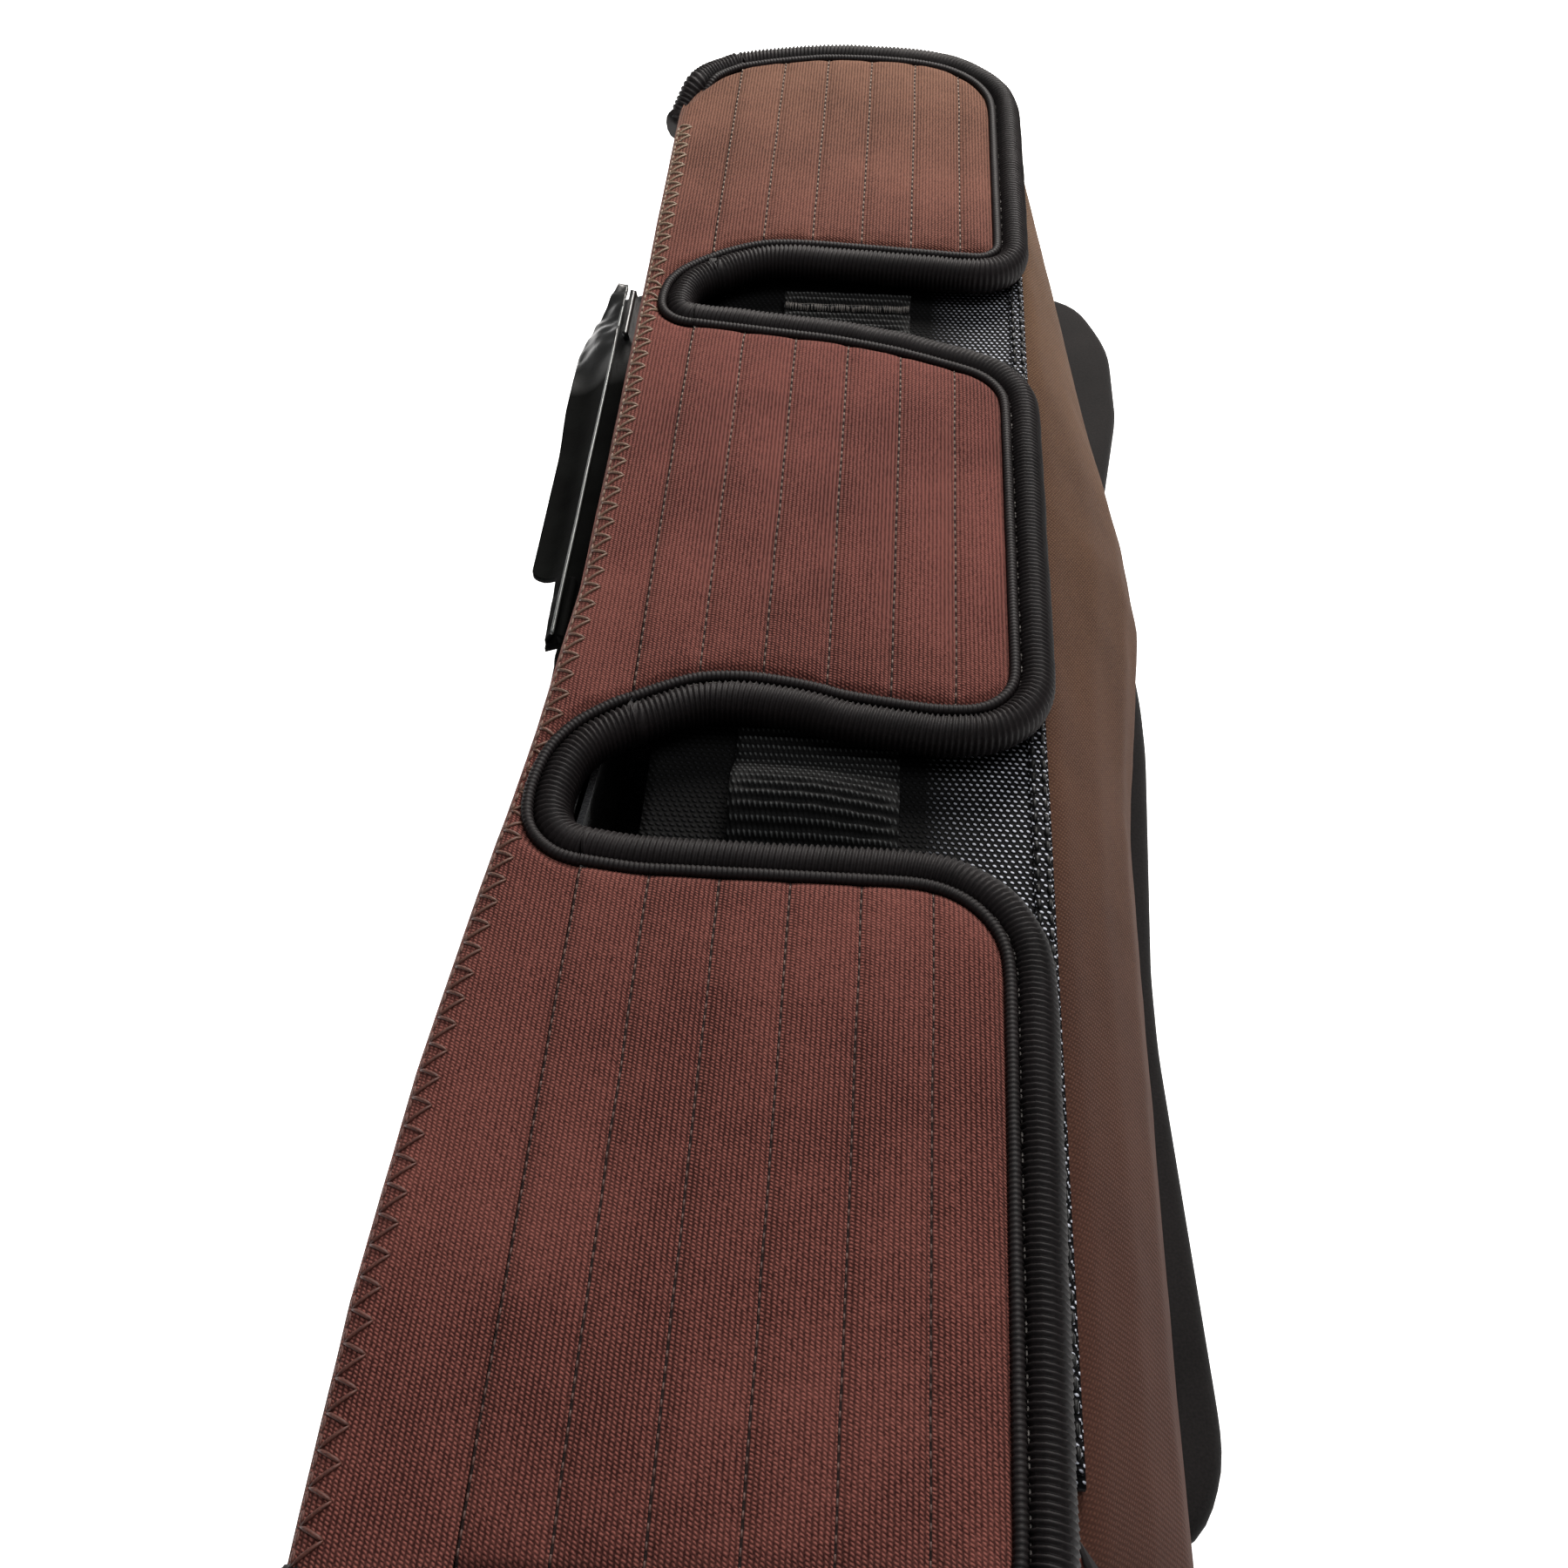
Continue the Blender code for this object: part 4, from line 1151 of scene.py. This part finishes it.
def pillow(name, node, material, slot, edge_round, body=BAG, rows=9, bulge=0.0, puff=0.0, top_node=None):
    """A pad on a node's outline, with rounded edges above and below and a crowned middle."""
    outline = plan_of(node)
    loop = round_off(outline + [outline[0]], 2)
    ring = resample(loop, 0.004)[:-1]
    count = len(ring)
    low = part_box(node)[0][2]
    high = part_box(top_node or node)[1][2]
    middle = (low + high) / 2
    half = (high - low) / 2
    normals = []
    for i in range(count):
        way = ring[(i + 1) % count] - ring[i - 1]
        normals.append(Vector((way.y, -way.x)).normalized())
    verts, faces = [], []
    insets = []
    for k in range(rows):
        angle = math.pi * (k / (rows - 1) - 0.5)
        insets.append((edge_round * (1 - math.cos(angle)), middle + half * math.sin(angle)))
    for inset, level in insets:
        verts += [(p.x - n.x * (inset - bulge), p.y - n.y * (inset - bulge), level)
                  for p, n in zip(ring, normals)]
    for k in range(rows - 1):
        for i in range(count):
            j = (i + 1) % count
            faces.append((k * count + i, k * count + j, (k + 1) * count + j, (k + 1) * count + i))
    for base, sign in ((0, -1), ((rows - 1) * count, 1)):
        centre_line = []
        for i in range(count):
            p = ring[i] - normals[i] * min(0.012, edge_round + 0.009)
            centre_line.append((p.x, p.y, middle + sign * (half + puff)))
        start = len(verts)
        verts += centre_line
        for i in range(count):
            j = (i + 1) % count
            quad = (base + i, base + j, start + j, start + i)
            faces.append(quad if sign > 0 else quad[::-1])
        cap = tuple(range(start, start + count))
        faces.append(cap if sign > 0 else cap[::-1])
    made = piece(name, verts, faces, material, slot, body)
    return made


for side in ("right", "left"):
    pad = pillow(f"{side}_shoulder_pad", f"{side}_strap_pad", MATERIALS["black_knit"], "black_knit", 0.0035,
                 bulge=0.0008)
    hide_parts(f"{side}_strap_pad")
    facing = pillow(f"{side}_shoulder_fleece", f"{side}_strap_fleece", MATERIALS["fleece"], "fleece", 0.0012)
    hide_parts(f"{side}_strap_fleece")
for level in ("lower", "upper"):
    pad = pillow(f"{level}_back_cushion", f"{level}_back_pad", MATERIALS["back_mesh"], "mesh", 0.0040)
    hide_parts(f"{level}_back_pad")
for side in ("right", "left"):
    plate(f"{side}_strap_tail_webbing", f"{side}_strap_tail", MATERIALS["webbing"], "webbing", columns=30,
          rows=80, wave_size=0.0001)
    anchor = pillow(f"{side}_strap_anchor_patch", f"{side}_strap_anchor", MATERIALS["black_knit"],
                    "black_knit", 0.0004, rows=5)
    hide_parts(f"{side}_strap_anchor")
yoke = pillow("strap_yoke_patch", "strap_yoke", MATERIALS["black_knit"], "black_knit", 0.0020)
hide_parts("strap_yoke")
panel = pillow("back_panel_cloth", "back_panel", MATERIALS["black_knit"], "black_knit", 0.0016)
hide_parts("back_panel")


# --- Side handle ------------------------------------------------------------------------------

def handle_strip(rows=220, columns=26):
    """The vinyl handle over its node's sloping outline: dished, and crumpled at its head end."""
    outline = loop_of("side_handle_grip", lean=0.7)
    inner_x = max(p.x for p in outline)
    outer = min(outline, key=lambda p: p.x)
    rim_z = max(p.z for p in outline)
    slope = (rim_z - outer.z) / (inner_x - outer.x)
    full = inner_x - outer.x
    flat = [p.to_2d() for p in outline]
    ys = [p.y for p in flat]
    top = np.zeros((columns, rows, 3))
    for j, y in enumerate(np.linspace(min(ys) + 1e-5, max(ys) - 1e-5, rows)):
        left, right = span(flat, y, 1)
        top[:, j, 0] = left + (right - left) * np.linspace(0, 1, columns)
        top[:, j, 1] = y
    for _ in range(5):
        top[:, 1:-1, 0] = (top[:, :-2, 0] + 2 * top[:, 1:-1, 0] + top[:, 2:, 0]) / 4
    x, y = top[..., 0], top[..., 1]
    reach = (inner_x - x) / full
    x += 0.12 * (inner_x - x) * smooth_ramp((0.075 - y) / 0.03)
    head = smooth_ramp((y - max(ys) + 0.042) / 0.020)
    foot = smooth_ramp((min(ys) + 0.032 - y) / 0.012)
    crumple = head * (1 - 0.6 * (reach > 0.9)) + 0.35 * foot
    level = rim_z - slope * (inner_x - x)
    level -= 0.0026 * np.sin(np.pi * np.clip(reach, 0, 1)) * (1 - 0.8 * head)
    level += 0.0024 * crumple * ripple(x, y, 75.0, 4.0) + 0.0014 * crumple * ripple(x, y, 210.0, 6.0)
    level += 0.0005 * ripple(x, y, 22.0, 8.0)
    level += 0.0022 * head * np.sin(np.pi * reach)
    top[..., 2] = level
    bottom = top.copy()
    bottom[..., 2] -= 0.0016
    rim = [Vector((inner_x - 0.0002, v, rim_z + 0.0004 * noise.noise(Vector((0, v * 40, 2)))))
           for v in np.linspace(min(ys) - 0.001, max(ys) - 0.001, 160)]
    return (top, bottom), rim


handle_grids, handle_rim = handle_strip()
grip = piece("side_handle_vinyl", *sheet_pair(*handle_grids), MATERIALS["vinyl"], "vinyl", "side_handle")
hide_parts("side_handle_grip")
piece("side_handle_rim", *swept(handle_rim, lambda i: ellipse(0.00045, 0.00045, 10)), MATERIALS["rim"],
      "vinyl", "side_handle")


def tab_patch(name):
    """A sewn vinyl tab on the left wall, whose top edge turns out to meet the handle."""
    low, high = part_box(name)
    tree = tree_of(name)
    axis_x = handle_rim[0].x
    top = np.zeros((24, 40, 3))
    bottom = np.zeros((24, 40, 3))
    for i, level in enumerate(np.linspace(low[2] + 0.0002, high[2] - 0.0002, 24)):
        for j, y in enumerate(np.linspace(low[1] + 0.0003, high[1] - 0.0003, 40)):
            hit = (tree.ray_cast(Vector((-0.2, y, level)), Vector((1, 0, 0)))[0]
                   or tree.find_nearest(Vector((low[0], y, level)))[0])
            turn = smooth_ramp((i - 17) / 6)
            x = hit.x + 0.0004 * noise.noise(Vector((0, y * 160, level * 160)))
            x += (axis_x + 0.0012 - x) * turn
            top[i, j] = (x, y, level)
            bottom[i, j] = (x + 0.0018, y, level - 0.0004 * turn)
    made = piece(f"{name}_vinyl", *sheet_pair(top, bottom), MATERIALS["vinyl"], "vinyl")
    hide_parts(name)


for tab in ("handle_tab_head", "handle_tab_foot"):
    tab_patch(tab)


def handle_gap_shade(rows=150, columns=7):
    """Dark vinyl sheet between the two tabs, from the left wall out towards the handle's rim: painted shade standing
    for the left wall seen in shadow through the gap under the handle.
    """
    start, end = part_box("handle_tab_foot")[0][1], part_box("handle_tab_head")[1][1]
    tree = tree_of("left_wall")
    level = handle_rim[0].z - 0.0018
    top = np.zeros((columns, rows, 3))
    for j, y in enumerate(np.linspace(start, end, rows)):
        wall = tree.ray_cast(Vector((-0.2, y, level)), Vector((1, 0, 0)))[0].x + 0.0006
        outer = handle_rim[0].x - 0.0022
        share = np.linspace(0, 1, columns)
        top[:, j, 0] = outer + (wall - outer) * share
        top[:, j, 1] = y
        top[:, j, 2] = level - 0.0028 * (1 - share) + 0.0003 * noise.noise(Vector((y * 90, 1, 0)))
    bottom = top - np.array([0, 0, 0.0014])
    piece("handle_gap_shade", *sheet_pair(top, bottom), MATERIALS["vinyl"], "vinyl")


handle_gap_shade()


# --- CAD nodes that stay ----------------------------------------------------------------------

KEPT = {"foam": [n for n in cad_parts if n.endswith("_foam")], "board": ["back_board"],
        "lining": ["lining"], "plastic": ["left_strap_buckle", "right_strap_buckle"]}
for look, names in KEPT.items():
    for name in names:
        mesh_data = bpy.data.objects[name].data
        mesh_data.materials.clear()
        mesh_data.materials.append(MATERIALS[look])


# --- Stage, lights and camera -----------------------------------------------------------------

def stage():
    """A plain white floor."""
    bpy.ops.mesh.primitive_plane_add(size=8, location=(0, 0, -0.0002))
    floor = bpy.context.object
    floor.name = "floor"
    made, tree, shader = node_material("floor", 0.9)
    shader.inputs["Base Color"].default_value = (0.90, 0.90, 0.90, 1)
    shader.inputs["Emission Color"].default_value = (1, 1, 1, 1)
    shader.inputs["Emission Strength"].default_value = 1.0
    floor.data.materials.append(made)


def area_light(name, place, target, size, power, colour=(1, 1, 1)):
    """A square area light aimed at a point."""
    data = bpy.data.lights.new(name, "AREA")
    data.size = size
    data.energy = power
    data.color = colour
    made = bpy.data.objects.new(name, data)
    made.location = place
    made.rotation_euler = (Vector(target) - Vector(place)).to_track_quat("-Z", "Y").to_euler()
    bpy.context.collection.objects.link(made)


def lights():
    """Window light from the head end and a weak overhead fill."""
    world = bpy.data.worlds.new("studio")
    bpy.context.scene.world = world
    world.use_nodes = True
    background = world.node_tree.nodes["Background"]
    background.inputs[0].default_value = (1, 1, 1, 1)
    background.inputs[1].default_value = 0.18
    area_light("window", (0.16, 0.80, 0.62), (0.02, 0.10, 0.09), 0.40, 12.5, (1.0, 0.96, 0.92))
    area_light("overhead", (0.25, 0.05, 1.20), (0, -0.05, 0.08), 0.7, 7.0)


def camera():
    """Low over the foot end, pitched 50 degrees down."""
    data = bpy.data.cameras.new("camera")
    data.lens = 38.0
    data.sensor_width = 36.0
    made = bpy.data.objects.new("camera", data)
    made.location = (0.007, -0.3196, TOP + 0.2781)
    made.rotation_euler = (math.radians(90 - 49.82), 0, math.radians(3.59))
    bpy.context.collection.objects.link(made)
    bpy.context.scene.camera = made
    bpy.context.scene.view_settings.view_transform = "Standard"


stage()
lights()
camera()
